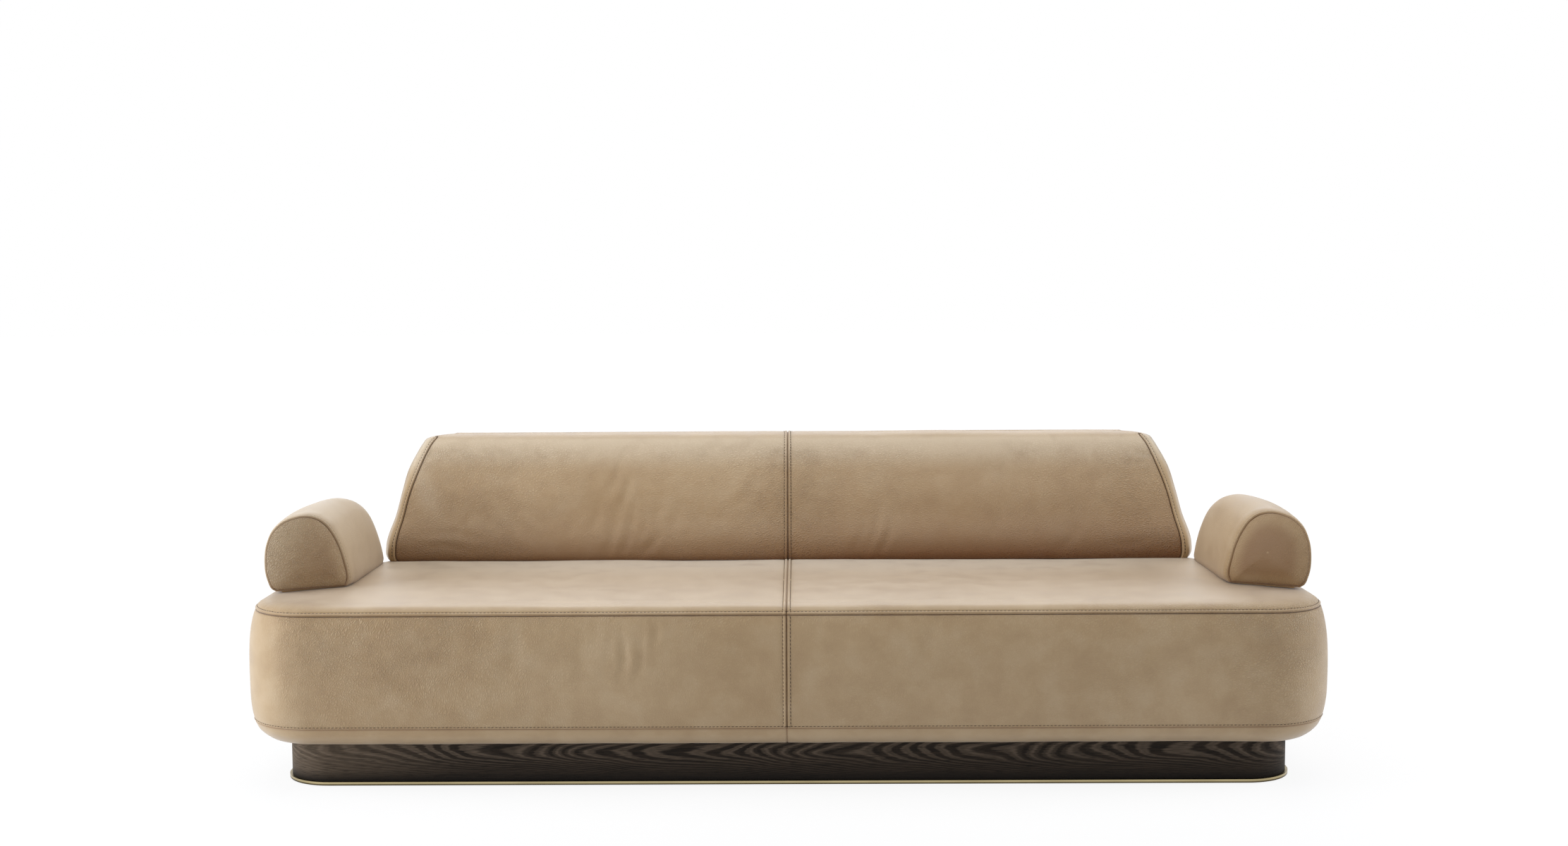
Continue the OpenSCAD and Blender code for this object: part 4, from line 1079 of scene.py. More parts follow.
        # Painted shade in the grooves of the seams and along the middle joint
        deep = 0.55 * fall(nearest, SEAM_SHADE) + 0.5 * fall(across, JOINT_SHADE)
        return height, np.clip(gathered, 0, 1), np.clip(deep, 0, 1)

    def sew(self, skin: Skin, places: np.ndarray, low: int, high: int) -> None:
        """Stitches beside the seams of the seat."""
        normals = skin.normals()
        line = self.seam.row
        for name, row in (("top", high + line), ("bottom", low + self.low_seam.row)):
            closed = [np.concatenate([ring[row], ring[row][:1]]) for ring in (skin.points, normals)]
            self.stitching.sew(f"seat_{name}_stitching", [tuple(closed)])
        rear = len(places) - 1
        stretches = (slice(low + line, high - 1), slice(high + line, len(skin.points)))
        self.stitching.sew("seat_middle_stitching", [
            (skin.points[rows, column], normals[rows, column])
            for column in (line, skin.points.shape[1] - line, rear - line, rear + line) for rows in stretches
        ])


@dataclass
class BackUpholstery(Upholstery):
    """The back: a long bolster that leans away from the sitter, flat at its foot,
    rounded over its ridge and bent round the seat's rear line, with sewn-in ends."""

    half_d: float = CAD_HIGH.y
    top_z: float = CAD_HIGH.z
    rest_z: float = 429.3 * MM
    foot_y: float = 190 * MM
    lean: float = 124 * MM
    inset: float = 20 * MM
    rear_edge: float = 72 * MM
    half_w: float = 1021 * MM
    end_d: float = 45 * MM
    end_least: float = 4 * MM
    seam_share: float = 0.61
    rim_drop: float = 24 * MM
    rear_corner_r: float = 700 * MM
    rear_centre: tuple[float, float] = (550 * MM, -220 * MM)
    seam: Seam = field(default_factory=Seam)
    # Height, lean, draw of the straight rear, draw of the bent rear, depth of the end
    level_shares: tuple = (
        (0, 0.03, 0.55, 0.0, 1), (0.033, 0, 0.25, 0.0, 1), (0.11, 0, 0.08, 0, 1),
        (0.364, 0.235, 0, 0, 0.89), (0.539, 0.4, 0, 0, 0.73), (0.736, 0.665, 0.04, 0, 0.36),
        (0.862, 0.865, 0.11, -0.05, 0.27), (0.93, 1.0, 0.28, -0.15, 0.3), (0.97, 1.12, 0.55, -0.18, 0.2),
        (0.992, 1.26, 0.8, -0.1, 0.12), (1, 1.4, 1, 0, 0.08),
    )
    # Past this lean the ends draw in no further
    drawn_lean: float = 1.14
    # Rows beside the foot and on both sides of the rim's seam, in millimetres
    foot_rows: tuple = (0, 1.5, 3.5, 6, 9, 13)
    rim_rows: tuple = (-7, -4, -2, -1, 0, 1, 2, 4, 7)
    row_stride: float = 6.5 * MM
    lid_rings: int = 6
    lid_reach: float = 0.96
    lid_rise: float = 1.5 * MM
    lid_share: float = 0.995
    # How far the leather turns in at the foot
    front_tuck: float = 2.4 * MM
    rear_tuck: float = 0.5 * MM
    folds: tuple[Fold, ...] = (
        Fold((-440, 690), (-466, 606), 2.6, 12), Fold((-420, 655), (-438, 556), 3.0, 11),
        Fold((-404, 568), (-430, 446), 3.4, 12), Fold((-322, 515), (-384, 446), 2.8, 12),
        Fold((-497, 572), (-512, 500), 2.2, 11), Fold((-572, 536), (-570, 484), 1.8, 12),
        Fold((-330, 600), (-352, 520), 1.8, 14), Fold((-372, 560), (-402, 450), 2.0, 10),
        Fold((-452, 540), (-470, 450), 2.0, 11), Fold((-286, 560), (-318, 470), 1.6, 12),
        Fold((238, 560), (196, 446), 3.2, 11), Fold((270, 530), (236, 446), 2.8, 10),
        Fold((206, 540), (170, 450), 2.6, 11),
        Fold((960, 694), (905, 703), 2.4, 6), Fold((952, 672), (880, 676), 1.8, 6),
        Fold((-80, 640), (-150, 560), 1.5, 12), Fold((560, 600), (530, 480), 1.8, 14),
        Fold((-820, 560), (-870, 500), 1.5, 9), Fold((-930, 500), (-800, 488), 1.5, 9),
        Fold((-940, 470), (-830, 456), 1.4, 8), Fold((-700, 520), (-640, 450), 1.5, 12),
        Fold((760, 520), (700, 450), 1.6, 12), Fold((940, 480), (850, 470), 1.3, 9),
    )
    # The back takes a painted highlight from the first heights up to the second ones, just under its ridge
    highlight_z: tuple[float, float] = (0.645, 0.715)
    ridge_z: tuple[float, float] = (0.731, 0.746)
    # Where the front is pulled: place along X, half width and amount
    pulls: tuple = ((-0.93, 0.26, 0.7), (0.93, 0.2, 0.4), (0.0, 0.12, 0.3))
    # The slanting streak of painted highlight at the left end: its place at one height, its slant and its
    # half width
    crease_x: float = -0.955
    crease_z: float = 0.62
    crease_slant: float = 0.42
    crease_half_w: float = 0.03

    def level(self, shares: np.ndarray, columns: "BackColumns") -> np.ndarray:
        """Right half of the ring at one level.

        Args:
            shares: The level's row of the table.
            columns: Where the half ring has its points.
        """
        height, lean, straight, bent, end = shares
        z = self.rest_z + height * (self.top_z - self.rest_z)
        front = self.foot_y + lean * self.lean
        cx, cy = self.rear_centre
        rear = self.half_d - self.inset - straight * self.rear_edge
        r = self.rear_corner_r - self.inset - bent * self.rear_edge
        end_y = front + end * self.end_d
        end_x = cx + math.sqrt(r * r - (end_y - cy) ** 2)
        drawn = min(lean, self.drawn_lean) * self.lean
        seam_x = min(self.half_w - self.seam_share * drawn, end_x - self.end_least)
        first, last = math.asin((end_y - cy) / r), math.asin(min(1.0, (rear - cy) / r))
        stop_x = cx + r * math.cos(last)
        flat = np.stack([columns.front * seam_x, np.full(len(columns.front), front)], axis=-1)
        t = columns.end[:, None]
        corner = (1 - t) ** 2 * [seam_x, front] + 2 * t * (1 - t) * np.array([end_x, front])
        corner = corner + t * t * [end_x, end_y]
        turn = first + (last - first) * columns.arc
        bend = np.stack([cx + r * np.cos(turn), cy + r * np.sin(turn)], axis=-1)
        back = np.stack([stop_x * (1 - columns.rear), np.full(len(columns.rear), rear)], axis=-1)
        half = np.concatenate([flat, corner, bend, back])
        return np.column_stack([half, np.full(len(half), z)])

    def build(self) -> None:
        """Makes the padded back and its stitching."""
        columns = BackColumns.spaced(self)
        rows = self.rings(columns)
        skin = Skin(np.concatenate([rows, self.lid(rows[-1])]))
        height, gathered, deep = self.relief(skin, columns, len(rows) - 1)
        skin = skin.pushed(height)
        skin.points[0, :, 2] = self.rest_z
        skin.points[..., 2] = np.maximum(skin.points[..., 2], self.rest_z)
        x, z = skin.points[..., 0], skin.points[..., 2]
        # Painted highlight just under the ridge, fading out on the ridge itself
        painted_highlight = smooth_step(*self.highlight_z, z) * (0.85 - 0.85 * smooth_step(*self.ridge_z, z))
        # A streak of painted highlight slants down from the ridge at the left end
        off_crease = x - self.crease_x + self.crease_slant * (z - self.crease_z)
        painted_highlight += 0.5 * bell(off_crease, 0.0, self.crease_half_w) * smooth_step(0.5, 0.6, z)
        # The ridges of the grain lie down across the middle and at the right end
        lying = smooth_step(-0.6, -0.3, x) * smooth_step(0.6, 0.3, x) + smooth_step(0.7, 0.9, x)
        marks = {"gathered": gathered, "deep": deep, "painted_highlight": np.clip(painted_highlight, 0, 1),
                 "level": np.clip(lying, 0, 1)}
        piece = self.cover("back_upholstery", skin.points, closed_faces(*skin.points.shape[:2]), marks, (
            "back_leather_left", "back_leather_right", "back_rear_leather_left", "back_rear_leather_right",
            "back_foam"))
        self.sew(skin, columns, len(rows) - 1)

    def rings(self, columns: "BackColumns") -> np.ndarray:
        """Whole rings from the foot to the ridge."""
        table = np.array(self.level_shares)
        line = np.column_stack([self.foot_y + table[:, 1] * self.lean,
                                self.rest_z + table[:, 0] * (self.top_z - self.rest_z)])
        knots = chord_places(line)
        rim = knots[-1] - self.rim_drop
        even = np.arange(20 * MM, knots[-1] - 4 * MM, self.row_stride)
        even = even[np.abs(even - rim) > 10 * MM]
        at = [np.array(self.foot_rows) * MM, even, rim + np.array(self.rim_rows) * MM, knots[-1:]]
        levels = smooth_table(knots, table, np.sort(np.concatenate(at)))
        levels[:, 0] = np.clip(levels[:, 0], 0, 1)
        halves = [self.level(row, columns) for row in levels]
        return np.array([np.concatenate([half, half[-2:0:-1] * [-1, 1, 1]]) for half in halves])

    def lid(self, top: np.ndarray) -> np.ndarray:
        """Rings that close the ridge, a little domed."""
        middle_y = np.full(len(top), (top[:, 1].min() + top[:, 1].max()) / 2)
        ridge = np.stack([top[:, 0] * self.lid_share, middle_y, top[:, 2]], axis=-1)
        shares = (np.arange(1, self.lid_rings + 1) / self.lid_rings * self.lid_reach)[:, None, None]
        lid = top + shares * (ridge - top)
        lid[..., 2] += self.lid_rise * np.sin(shares[..., 0] * math.pi / 2)
        return lid

    def relief(self, skin: Skin, columns: "BackColumns", top_row: int) -> tuple[np.ndarray, ...]:
        """Works out how the leather lies over the plain form.

        Args:
            skin: The plain form.
            columns: Where a half ring has its points.
            top_row: Row of the ridge's edge.

        Returns:
            Its height at the points, how gathered it is, and how much painted shade it takes.
        """
        p = skin.points
        x, z = p[..., 0], p[..., 2]
        across = np.abs(x)
        rows, column = np.arange(len(p))[:, None], np.arange(p.shape[1])
        count, seam = p.shape[1], columns.seam
        walk = np.cumsum(np.linalg.norm(p - np.roll(p, 1, axis=1), axis=-1), axis=1)
        right = walk - walk[:, seam : seam + 1]
        left = walk - walk[:, count - seam : count - seam + 1]
        from_end = np.where(column < count // 2, right, -left)
        d_end = np.abs(from_end)
        on_front = np.where(column < count // 2, column, count - column) <= seam
        front = np.broadcast_to(on_front, across.shape)
        up = skin.row_places()[:, None]
        foot = up - up[0]

        # The end seams, which die out at the ridge, the middle joint, and the seam behind the ridge
        height = self.seam.sides(from_end <= 0, d_end, SeamSide.PLAIN)
        height *= 1 - smooth_step(-14 * MM, -2 * MM, z - self.top_z)
        height += self.seam.relief(across, SeamSide.RAISED)
        height += 1.5 * self.seam.gathers(up, np.where(front, d_end, OUT_OF_REACH), 31)
        height += 0.6 * self.seam.gathers(up, across, 37)
        rim = np.abs(up - up[top_row] + self.rim_drop)
        away = smooth_step(10 * MM, 60 * MM, d_end)
        height += np.where(front, 0.0, away) * self.seam.relief(rim, SeamSide.PLAIN) * (rows <= top_row + 2)
        height -= np.where(front, self.front_tuck, self.rear_tuck) * fall(foot, 4 * MM) * (foot > 0)

        # Soft swells away from the seams, and the folds of the front
        calm = smooth_step(2 * MM, 50 * MM, np.minimum(d_end, across)) * smooth_step(0, 40 * MM, foot)
        swell = 1.0 * MM * soft_noise(p, 190 * MM, 41)
        height += calm * (swell + 0.5 * MM * soft_noise(p * [1, 1, 0.6], 62 * MM, 42))
        for fold in self.folds:
            height += fold.relief(x, z) * front * (rows < top_row)

        # Ridges all over the front, more near its ends and its middle; painted shade in the seams and the
        # joint, and at the foot, more to the right
        gathered = 0.62 + 0.2 * soft_noise(p, 200 * MM, 45)
        for place, half_w, amount in self.pulls:
            gathered += amount * bell(x, place, half_w)
        gathered = gathered * (1 - 0.8 * smooth_step(0.69, 0.74, z)) * np.where(front, 1.0, 0.3)
        deep = 0.6 * fall(d_end, SEAM_SHADE) + 0.5 * fall(across, JOINT_SHADE)
        rightward = smooth_step(-0.3, 0.5, x)
        near_foot, round_foot = fall(foot, 80 * MM), fall(foot, 200 * MM)
        deep += front * ((0.9 + 0.1 * rightward) * near_foot + 0.2 * rightward * round_foot)
        return height, np.clip(gathered, 0, 1), np.clip(deep, 0, 1)

    def sew(self, skin: Skin, columns: "BackColumns", top_row: int) -> None:
        """Stitches beside the middle joint, and stitches and lacing up the sewn ends."""
        normals = skin.normals()
        count = skin.points.shape[1]
        line, half = self.seam.row, count // 2
        whole, upright = slice(4, len(skin.points)), slice(4, top_row - 4)
        lacing = Stitching(self.stitching.thread, pitch=6.2 * MM, length=6.0 * MM, radius=1.25 * MM,
                           sink=-1.6 * MM, slant=math.radians(24))
        for stitching, name, rows, where in (
            (self.stitching, "back_middle_stitching", whole, (line, count - line, half - line, half + line)),
            (self.stitching, "back_end_stitching", upright, (columns.end_line, count - columns.end_line)),
            (lacing, "back_end_lacing", upright, (columns.seam, count - columns.seam)),
        ):
            stitching.sew(name, [(skin.points[rows, column], normals[rows, column]) for column in where])


@dataclass(frozen=True)
class BackColumns:
    """Places of the columns of the back's half ring, as shares of its stretches."""

    front: np.ndarray
    end: np.ndarray
    arc: np.ndarray
    rear: np.ndarray
    end_line: int

    @property
    def seam(self) -> int:
        """Column of the end seam."""
        return len(self.front) - 1

    @classmethod
    def spaced(cls, back: BackUpholstery) -> "BackColumns":
        """Spaces the columns for a back: even strides, and closer beside the seams."""
        corner_run, arc_run, rear_run = 56 * MM, 800 * MM, 600 * MM
        front = stations(back.half_w)
        end = SEAM_ROWS[1:-2] / corner_run
        arc_count = round(arc_run / STRIDE)
        rear = stations(rear_run, seam_first=False)[1:]
        if (len(front) + len(end) + arc_count + len(rear)) % 2 == 0:
            arc_count += 1
        arc = np.linspace(0, 1, arc_count)
        return cls(front / back.half_w, end, arc, rear / rear_run, len(front) - 1 + back.seam.row)


@dataclass
class ArmUpholstery(Upholstery):
    """An arm: a short bolster with a domed front panel, whose outer side follows the
    seat's fullest line and which falls away to a low tail beside the back."""

    seat: SeatUpholstery
    inner_x: float = 1045 * MM
    inset: float = 23 * MM
    height: float = 185 * MM
    front_outer: float = 182 * MM
    front_inner: float = 292 * MM
    seam_inset: float = 9 * MM
    dome: float = 13 * MM
    tail_share: float = 0.723
    rest_z: float = 429.3 * MM
    seam: Seam = field(default_factory=Seam)
    # Points over the arch, points of the flat foot, and the length that the rows are spaced for
    arch_count: int = 88
    foot_count: int = 24
    run: float = 500 * MM
    # Past the rows beside the seam: distance of the first row, and the strides of cover and front
    first_even: float = 38 * MM
    wrap_stride: float = 7 * MM
    panel_stride: float = 6 * MM
    dome_power: float = 2.4
    # How far round the arch the outer lengthwise seam lies
    side_seam_share: float = 0.745
    # Rows of the cover behind the front panel whose foot isn't tucked in
    untucked_rows: int = 12
    foot_tuck: float = 2.0 * MM
    # From the foot of the inner side over the top to the outer foot
    section_shares: tuple = (
        (0.027, 0), (0.005, 0.05), (0.03, 0.35), (0.088, 0.568), (0.154, 0.724), (0.247, 0.87),
        (0.363, 0.962), (0.5, 1), (0.648, 0.984), (0.797, 0.919), (0.907, 0.805), (0.973, 0.643),
        (1, 0.438), (0.973, 0.168), (0.923, 0.043), (0.874, 0),
    )
    centre_shares: tuple[float, float] = (0.5, 0.45)
    # Place along, draw at the front seam, height, push of the inner side
    wrap_shares: tuple = (
        (0, 1, 1, 0), (0.014, 0.58, 1, 0), (0.036, 0.26, 1.002, 0), (0.09, 0.07, 1.005, 0),
        (0.35, 0, 1.04, 0), (0.57, 0, 1.01, 0), (0.67, 0, 0.94, 0), (0.76, 0, 0.815, 0),
        (0.84, 0, 0.6, 0.008), (0.91, 0, 0.33, 0.026), (0.965, 0, 0.12, 0.06), (1, 0, 0.05, 0.09),
    )

    @property
    def width(self) -> float:
        """Width of the arm at its front."""
        return self.seat.half_w - self.inset - self.inner_x

    @property
    def slope(self) -> float:
        """Change of the plain front's place with the distance from the middle."""
        return (self.front_outer - self.front_inner) / self.width

    def front_y(self, x: np.ndarray) -> np.ndarray:
        """Place of the plain front at a distance from the middle."""
        return -self.seat.half_d + self.front_inner + self.slope * (x - self.inner_x)

    def side_x(self, y: np.ndarray) -> np.ndarray:
        """Outer side of the arm at a place along it."""
        cx, cy = self.seat.rear_centre
        r = self.seat.rear_corner_r - self.inset
        bent = cx + np.sqrt(np.maximum(r * r - np.maximum(y - cy, 0) ** 2, 0))
        fx, fy = self.seat.front_centre
        fr = self.seat.front_corner_r - self.inset
        front = fx + np.sqrt(np.maximum(fr * fr - np.minimum(y - fy, 0) ** 2, 0))
        return np.where(y > cy, bent, np.where(y > fy, self.seat.half_w - self.inset, front))

    def section(self) -> tuple[np.ndarray, np.ndarray, np.ndarray]:
        """The arch of the section.

        Returns:
            The arch's (x, height) points, its outward directions, and distances along it.
        """
        shares = np.array(self.section_shares)
        outline = Line(np.column_stack([self.inner_x + shares[:, 0] * self.width,
                                        self.rest_z + shares[:, 1] * self.height]))
        at = outline.length * np.arange(self.arch_count) / (self.arch_count - 1)
        arch = outline.at(at)
        tangent = np.gradient(arch, axis=0)
        tangent /= np.linalg.norm(tangent, axis=1, keepdims=True)
        return arch, np.stack([-tangent[:, 1], tangent[:, 0]], axis=-1), at

    def wrap_ring(self, shares: np.ndarray, arch: np.ndarray, outward: np.ndarray) -> np.ndarray:
        """One ring of the cover: the arch, closed by the flat foot under it."""
        place, draw, high, push = shares
        tail = self.tail_share * 2 * self.seat.half_d - self.seat.half_d
        inner = self.inner_x + push * self.width
        line_y = (1 - place) * self.front_y(arch[:, 0]) + place * tail
        across = (arch[:, 0] - self.inner_x) / self.width
        x = inner + across * (self.side_x(line_y) - inner) - draw * self.seam_inset * outward[:, 0]
        z = self.rest_z + high * (arch[:, 1] - self.rest_z) - draw * self.seam_inset * outward[:, 1]
        y = (1 - place) * self.front_y(x) + place * tail
        over = np.column_stack([x, y, np.maximum(z, self.rest_z)])
        t = (np.arange(1, self.foot_count + 1) / (self.foot_count + 1))[:, None]
        return np.concatenate([over, over[-1] + t * (over[0] - over[-1])])

    def build(self, mirrored: bool) -> None:
        """Makes the arm and its stitching.

        Args:
            mirrored: Whether it is the left arm.
        """
        side = "left" if mirrored else "right"
        arch, outward, at = self.section()
        table = np.array(self.wrap_shares)
        even = np.arange(self.first_even, self.run - 4 * MM, self.wrap_stride)
        ahead = np.concatenate([SEAM_ROWS, even, [self.run]]) / self.run
        wraps = [self.wrap_ring(row, arch, outward) for row in smooth_table(table[:, 0], table, ahead)]
        middle = np.array([self.inner_x + self.centre_shares[0] * self.width, 0.0,
                           self.rest_z + self.centre_shares[1] * self.height])
        middle[1] = self.front_y(middle[0])
        out = np.array([self.slope, -1.0, 0.0]) / math.hypot(self.slope, 1.0)
        panel = self.front_panel(wraps[0], middle, out)
        skin = Skin(np.array(panel + wraps))
        height, gathered, deep = self.relief(skin, len(panel), at, mirrored)
        skin = skin.pushed(height)
        skin.points[..., 2] = np.maximum(skin.points[..., 2], self.rest_z)
        rows, count = skin.points.shape[:2]
        whole = np.concatenate([skin.points.reshape(-1, 3), [middle + out * self.dome],
                                [skin.points[-1].mean(axis=0)]])
        faces = band_faces(rows, count) + fan_faces(0, count, len(whole) - 2, up=False)
        faces += fan_faces((rows - 1) * count, count, len(whole) - 1, up=True)
        mirror = np.array([-1, 1, 1]) if mirrored else np.ones(3)
        if mirrored:
            faces = [tuple(face)[::-1] for face in faces]
        # Painted highlight on the left arm only: its front, more so towards the outer side, and its cover
        outer = smooth_step(self.inner_x + 0.4 * self.width, self.inner_x + self.width, skin.points[..., 0])
        painted_highlight = np.where(np.arange(rows)[:, None] < len(panel), 0.25 + 0.5 * outer, 0.5)
        marks = {"gathered": gathered, "deep": deep, "painted_highlight": painted_highlight * mirrored}
        nodes = tuple(f"arm_{part}_{side}" for part in ("foam", "leather", "front_panel", "outer_panel"))
        piece = self.cover(f"arm_upholstery_{side}", whole * mirror, faces, marks, nodes)
        row, arc = len(panel) + self.seam.row, slice(1, len(arch) - 1)
        self.stitching.sew(f"arm_front_stitching_{side}", [
            (skin.points[row, arc] * mirror, skin.normals()[row, arc] * mirror)])

    def front_panel(self, edge: np.ndarray, middle: np.ndarray, out: np.ndarray) -> list[np.ndarray]:
        """Rings of the domed front, from close about its middle to its seam.

        Args:
            edge: Ring at the seam.
            middle: Middle of the plain front.
            out: Direction in which the front faces.
        """
        reach = float(np.median(np.linalg.norm(edge - middle, axis=1)))
        even = np.arange(self.first_even, 0.97 * reach, self.panel_stride)
        inward = np.concatenate([SEAM_ROWS[1:], even]) / reach
        return [middle + (edge - middle) * (1 - t) + out * self.dome * (1 - (1 - t) ** self.dome_power)
                for t in inward[::-1]]

    def relief(self, skin: Skin, panel: int, at: np.ndarray, mirrored: bool) -> tuple[np.ndarray, ...]:
        """Works out how the leather lies over the plain form.

        Args:
            skin: The plain form.
            panel: Row of the front seam.
            at: Distances along the arch.
            mirrored: Whether it is the left arm.

        Returns:
            Its height at the points, how gathered it is, and how much painted shade it takes.
        """
        p = skin.points
        x, z = p[..., 0], p[..., 2]
        on_panel = np.arange(len(p))[:, None] < panel
        ahead = skin.row_places()[:, None]
        ahead = ahead - ahead[panel]
        distance = np.abs(ahead)
        foot = np.zeros(p.shape[1] - len(at))

        # The front seam, and a fine lengthwise seam on the outer side that starts behind it
        height = np.zeros(p.shape[:2])
        height += self.seam.sides(on_panel, distance, SeamSide.PLAIN)
        height += 0.8 * self.seam.gathers(np.concatenate([at, at[-1] + foot]), distance, 51 + 9 * mirrored)
        from_side = np.abs(at - at[int(self.side_seam_share * len(at))])
        outer = np.concatenate([self.seam.relief(from_side, SeamSide.FINE), foot])
        height += 0.6 * outer * smooth_step(40 * MM, 120 * MM, ahead)
        height += 0.7 * MM * soft_noise(p, 90 * MM, 55 + mirrored) * smooth_step(2 * MM, 40 * MM, distance)
        height *= smooth_step(0, 12 * MM, z - self.rest_z)
        tuck = fall(z - self.rest_z, 5 * MM) * (z > self.rest_z + 0.1 * MM)
        tucked = np.arange(len(p))[:, None] >= panel + self.untucked_rows
        height -= np.where(tucked, self.foot_tuck, 0.0) * tuck

        # The left front is ridged all over, the right one ridged near its seam; painted shade darkens the
        # right front, the left front's inner and lower parts, the seam and the foot
        ridged = 1.0 if mirrored else 0.12 + 0.45 * fall(distance, 26 * MM)
        gathered = np.where(on_panel, ridged, 0.2) + np.zeros(height.shape)
        centre = smooth_step(10 * MM, 45 * MM, -ahead)
        inner = smooth_step(self.inner_x + 0.85 * self.width, self.inner_x + 0.1 * self.width, x)
        lower = smooth_step(self.rest_z + 0.8 * self.height, self.rest_z, z)
        shaded = centre * (0.3 * inner + 0.15 * lower) if mirrored else 0.15 + 0.4 * centre
        deep = 0.6 * fall(distance, SEAM_SHADE) + np.where(on_panel, shaded, 0.0)
        # Painted shade along the foot, where the arm sits on the seat
        deep = deep + 0.45 * fall(z - self.rest_z, 14 * MM)
        return height, np.clip(gathered, 0, 1), np.clip(deep, 0, 1)


# Plinth and hidden construction


@dataclass
class Construction:
    """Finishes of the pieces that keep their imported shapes."""

    nodes: dict[str, bpy.types.Object]

    def dress(self) -> None:
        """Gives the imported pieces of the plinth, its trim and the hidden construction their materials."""
        # Centres and radii of the bent side boards and of the bent corners in front of them
        rear, rear_r = (550 * MM, -220 * MM), 616 * MM
        front, front_r = (1056 * MM, -286 * MM), 110 * MM
        # Offsets along the grain, so that no two boards show the same figure
        oaks = {
            "plinth_front_board": FumedOak("fumed_oak_front_board"),
            "plinth_rear_board": FumedOak("fumed_oak_rear_board", offset=7.3),
        }
        for sign, side in ((1, "right"), (-1, "left")):
            oaks[f"plinth_side_board_{side}"] = FumedOak(
                f"fumed_oak_bent_side_{side}", (sign * rear[0], rear[1]), rear_r, 3.1 + sign)
            # The front board's grain runs on round the corner
            oaks[f"plinth_corner_{side}"] = FumedOak(
                f"fumed_oak_bent_corner_{side}", (sign * front[0], front[1]), front_r,
                sign * front[0] + math.pi / 2 * front_r)
        for name, finish in oaks.items():
            self.assign(finish, [name])
        starts = {
            SatinBrass("satin_brass_bar"): ["trim_"],
            PlainGrain("sawn_pine"): [
                "plinth_battens", "plinth_glue", "frame_front", "frame_rear", "frame_cross", "frame_corner",
                "back_bottom_rail", "back_top_rail"],
            PlainGrain("birch_plywood", "#b98f5c", "#d0a872", (4.0, 4.0, 700.0)): [
                "base_panel", "frame_side", "back_ribs", "back_closing", "arm_base"],
            PlainGrain("woven_elastic_webbing", "#2f322c", "#50544a", (700.0, 700.0, 200.0), 0.8): [
                "webbing"],
            PlainGrain("zinc_plated_steel", "#9fa3a6", "#b9bcbe", (60.0, 60.0, 60.0), 0.35, 1.0, 0.05 * MM): [
                "plinth_bolts", "tee_nuts"],
            PlainGrain("moulded_nylon", "#222222", "#2e2e2e", (400.0, 400.0, 400.0), 0.5): ["glides"],
            PlainGrain("moulded_foam", "#e3d8b8", "#efe7cf", (300.0, 300.0, 300.0), 0.9): [
                "seat_foam", "foam_border", "back_foam", "arm_foam"],
        }
        for finish, begin in starts.items():
            self.assign(finish, [name for name in self.nodes if name.startswith(tuple(begin))])

    def assign(self, finish: Finish, names: list[str]) -> None:
        """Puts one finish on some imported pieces."""
        material = finish.material()
        for name in names:
            slots = self.nodes[name].material_slots
            if not slots:
                self.nodes[name].data.materials.append(material)
            for slot in slots:
                slot.material = material
        LOG.info("%s on %s", finish.name, names)


# Camera, floor and light


@dataclass(frozen=True)
class Viewpoint:
    """The photograph's camera: a long lens, higher than the back and tilted down a little."""

    place: tuple[float, float, float] = (28.9 * MM, -4529.8 * MM, 1176.3 * MM)
    pitch: float = math.radians(4.719)
    yaw: float = math.radians(-0.453)
    roll: float = math.radians(-0.312)
    focal_px: float = 2600.0
    frame_px: float = 2223.0
    sensor_mm: float = 36.0

    def build(self) -> None:
        """Makes the camera and looks through it."""
        data = bpy.data.cameras.new("camera")
        data.sensor_width = self.sensor_mm
        data.lens = self.focal_px / self.frame_px * self.sensor_mm
        data.clip_end = 100.0
        ahead = Vector((math.sin(self.yaw) * math.cos(self.pitch), math.cos(self.yaw) * math.cos(self.pitch),
                        -math.sin(self.pitch)))
        level = Vector((math.cos(self.yaw), -math.sin(self.yaw), 0.0))
        upright = level.cross(ahead)
        right = level * math.cos(self.roll) + upright * math.sin(self.roll)
        up = upright * math.cos(self.roll) - level * math.sin(self.roll)
        camera = bpy.data.objects.new("camera", data)
        turn = Matrix((right, up, -ahead)).transposed().to_4x4()
        camera.matrix_world = Matrix.Translation(self.place) @ turn
        bpy.context.scene.collection.objects.link(camera)
        bpy.context.scene.camera = camera


# Daylight from the sides, a little cooler than the rest
COOL = (0.93, 1.0, 1.12)


@dataclass(frozen=True)
class Lamp:
    """A large soft lamp: where it hangs, its size, its power in watts, its aim, its
    colour, and whether glossy surfaces mirror it."""

    name: str
    place: tuple[float, float, float]
    size: tuple[float, float]
    power: float
    aim: tuple[float, float, float] = (0.0, 0.0, 0.35)
    colour: tuple[float, float, float] = (1.0, 1.0, 1.0)
    mirrored: bool = True

    def build(self) -> None:
        """Hangs the lamp."""
        data = bpy.data.lights.new(self.name, "AREA")
        data.shape = "RECTANGLE"
        data.size, data.size_y = self.size
        data.energy = self.power
        data.color = self.colour
        lamp = bpy.data.objects.new(self.name, data)
        lamp.visible_glossy = self.mirrored
        lamp.location = self.place
        lamp.rotation_euler = (Vector(self.aim) - Vector(self.place)).to_track_quat("-Z", "Y").to_euler()
        bpy.context.scene.collection.objects.link(lamp)


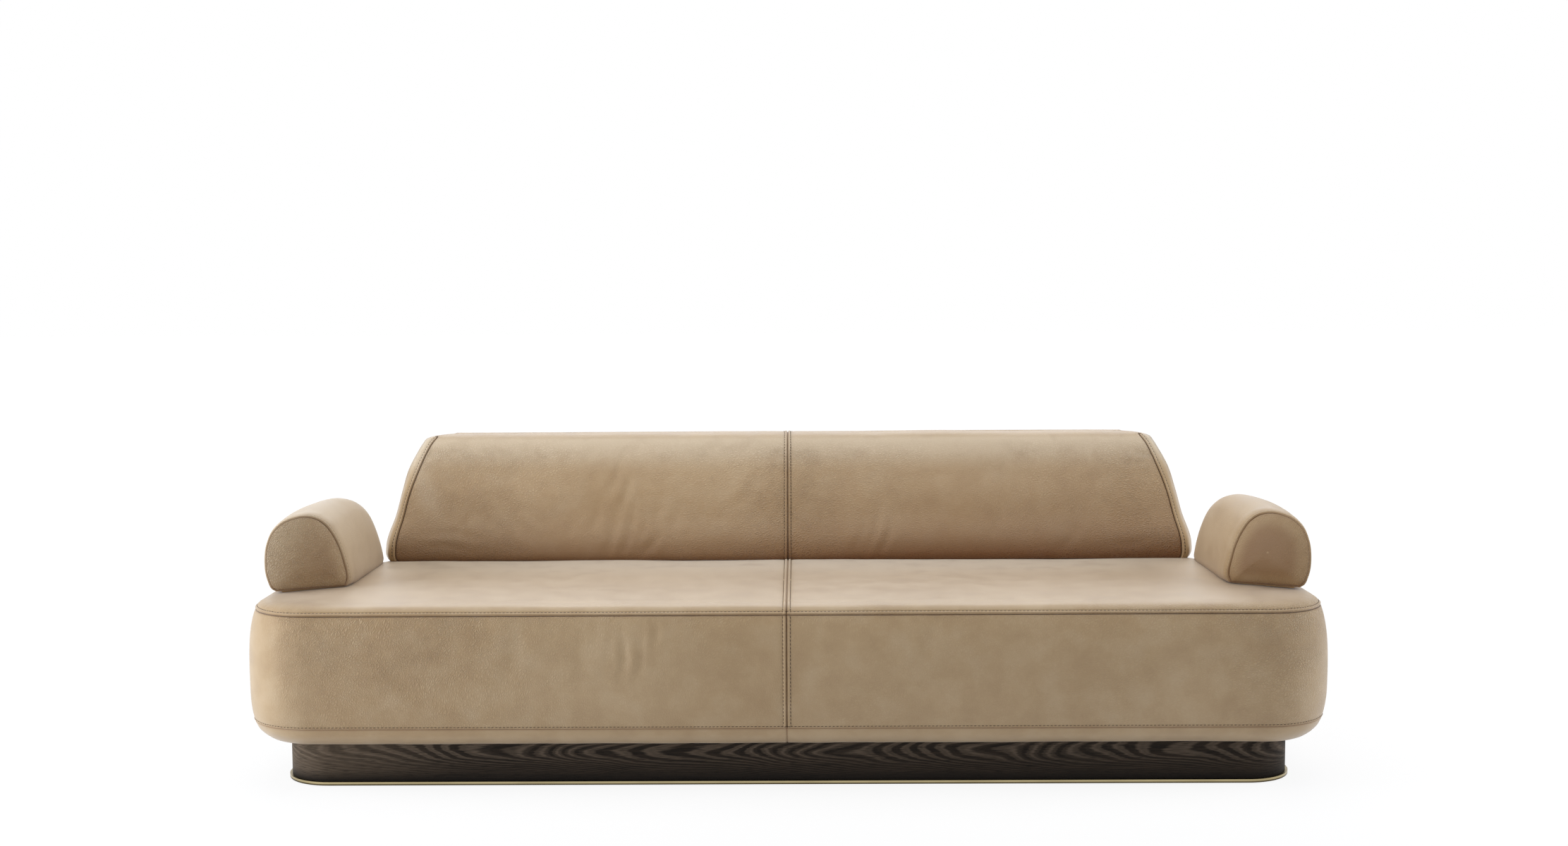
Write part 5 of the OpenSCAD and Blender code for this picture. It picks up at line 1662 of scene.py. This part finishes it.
@dataclass(frozen=True)
class Studio:
    """A white studio: a pale floor, an even sky and large soft lamps."""

    white: tuple[float, float, float, float] = (1.0, 1.0, 1.0, 1.0)
    sky: float = 0.16
    floor_half: float = 30.0
    floor_grey: float = 0.86
    # The camera sees this much of the floor as plain white, and its shadow in the rest
    glow_share: float = 0.86
    floor_glow: float = 1.03
    # Past the sofa's shadow, between these distances, the floor turns all white
    shadow_end: tuple[float, float] = (1.7, 3.4)
    lamps: tuple[Lamp, ...] = (
        Lamp("lamp_over", (0.0, -0.3, 3.0), (4.6, 2.6), 51.0, (0.0, -0.2, 0.3)),
        Lamp("lamp_behind", (0.0, 2.6, 2.6), (5.0, 1.6), 48.0),
        Lamp("lamp_left", (-3.6, -0.9, 1.5), (2.2, 2.2), 84.0, colour=COOL, mirrored=False),
        Lamp("lamp_right", (3.6, -0.6, 1.5), (2.2, 2.2), 60.0, colour=COOL, mirrored=False),
        Lamp("lamp_low_left", (-3.0, -2.6, 0.5), (1.6, 0.8), 21.0),
    )

    def build(self) -> None:
        """Makes the floor, the sky and the lamps."""
        self.floor()
        self.world()
        for lamp in self.lamps:
            lamp.build()
        bpy.context.scene.view_settings.view_transform = "Standard"

    def floor(self) -> None:
        """A white floor that the camera sees white but for the shadow on it."""
        bpy.ops.object.select_all(action="DESELECT")
        bpy.ops.mesh.primitive_plane_add(size=2 * self.floor_half)
        floor = bpy.context.active_object
        floor.name = "studio_floor"
        material, graph, shader = Finish("white_studio_floor").start()
        graph.fill(shader, {"Base Color": (*[self.floor_grey] * 3, 1.0), "Roughness": 0.9})
        glow = graph.node("Emission", {"Color": self.white, "Strength": self.floor_glow})
        away = graph.node("VectorMath", {0: graph.place()}, operation="LENGTH").outputs["Value"]
        plain = graph.spread(away, *self.shadow_end, self.glow_share, 1.0, interpolation_type="SMOOTHSTEP")
        share = graph.times(graph.seen(), plain)
        mix = graph.node("MixShader", {0: share, 1: shader.outputs[0], 2: glow.outputs[0]})
        graph.fill(graph.tree.nodes["Material Output"], {0: mix.outputs[0]})
        floor.data.materials.append(material)
        floor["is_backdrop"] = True

    def world(self) -> None:
        """A sky that is white to the eye and even on the sofa."""
        world = bpy.data.worlds.new("white_studio")
        world.use_nodes = True
        graph = Graph(world.node_tree)
        strength = graph.spread(graph.seen(), 0.0, 1.0, self.sky, 1.0)
        graph.fill(graph.tree.nodes["Background"], {"Color": self.white, "Strength": strength})
        bpy.context.scene.world = world


def main() -> None:
    """Builds the sofa's looks, piece by piece."""
    logging.basicConfig(level=logging.INFO, format="%(message)s")
    Viewpoint().build()
    leather = AnilineLeather("aniline_leather").material()
    thread = WaxedThread("waxed_polyester_thread").material()
    stitching = Stitching(thread)
    seat = SeatUpholstery(leather, stitching)
    seat.build()
    BackUpholstery(leather, stitching).build()
    for mirrored in (False, True):
        ArmUpholstery(leather, stitching, seat).build(mirrored)
    Construction(frame["nodes"]).dress()
    Studio().build()


if __name__ == "__main__":
    main()
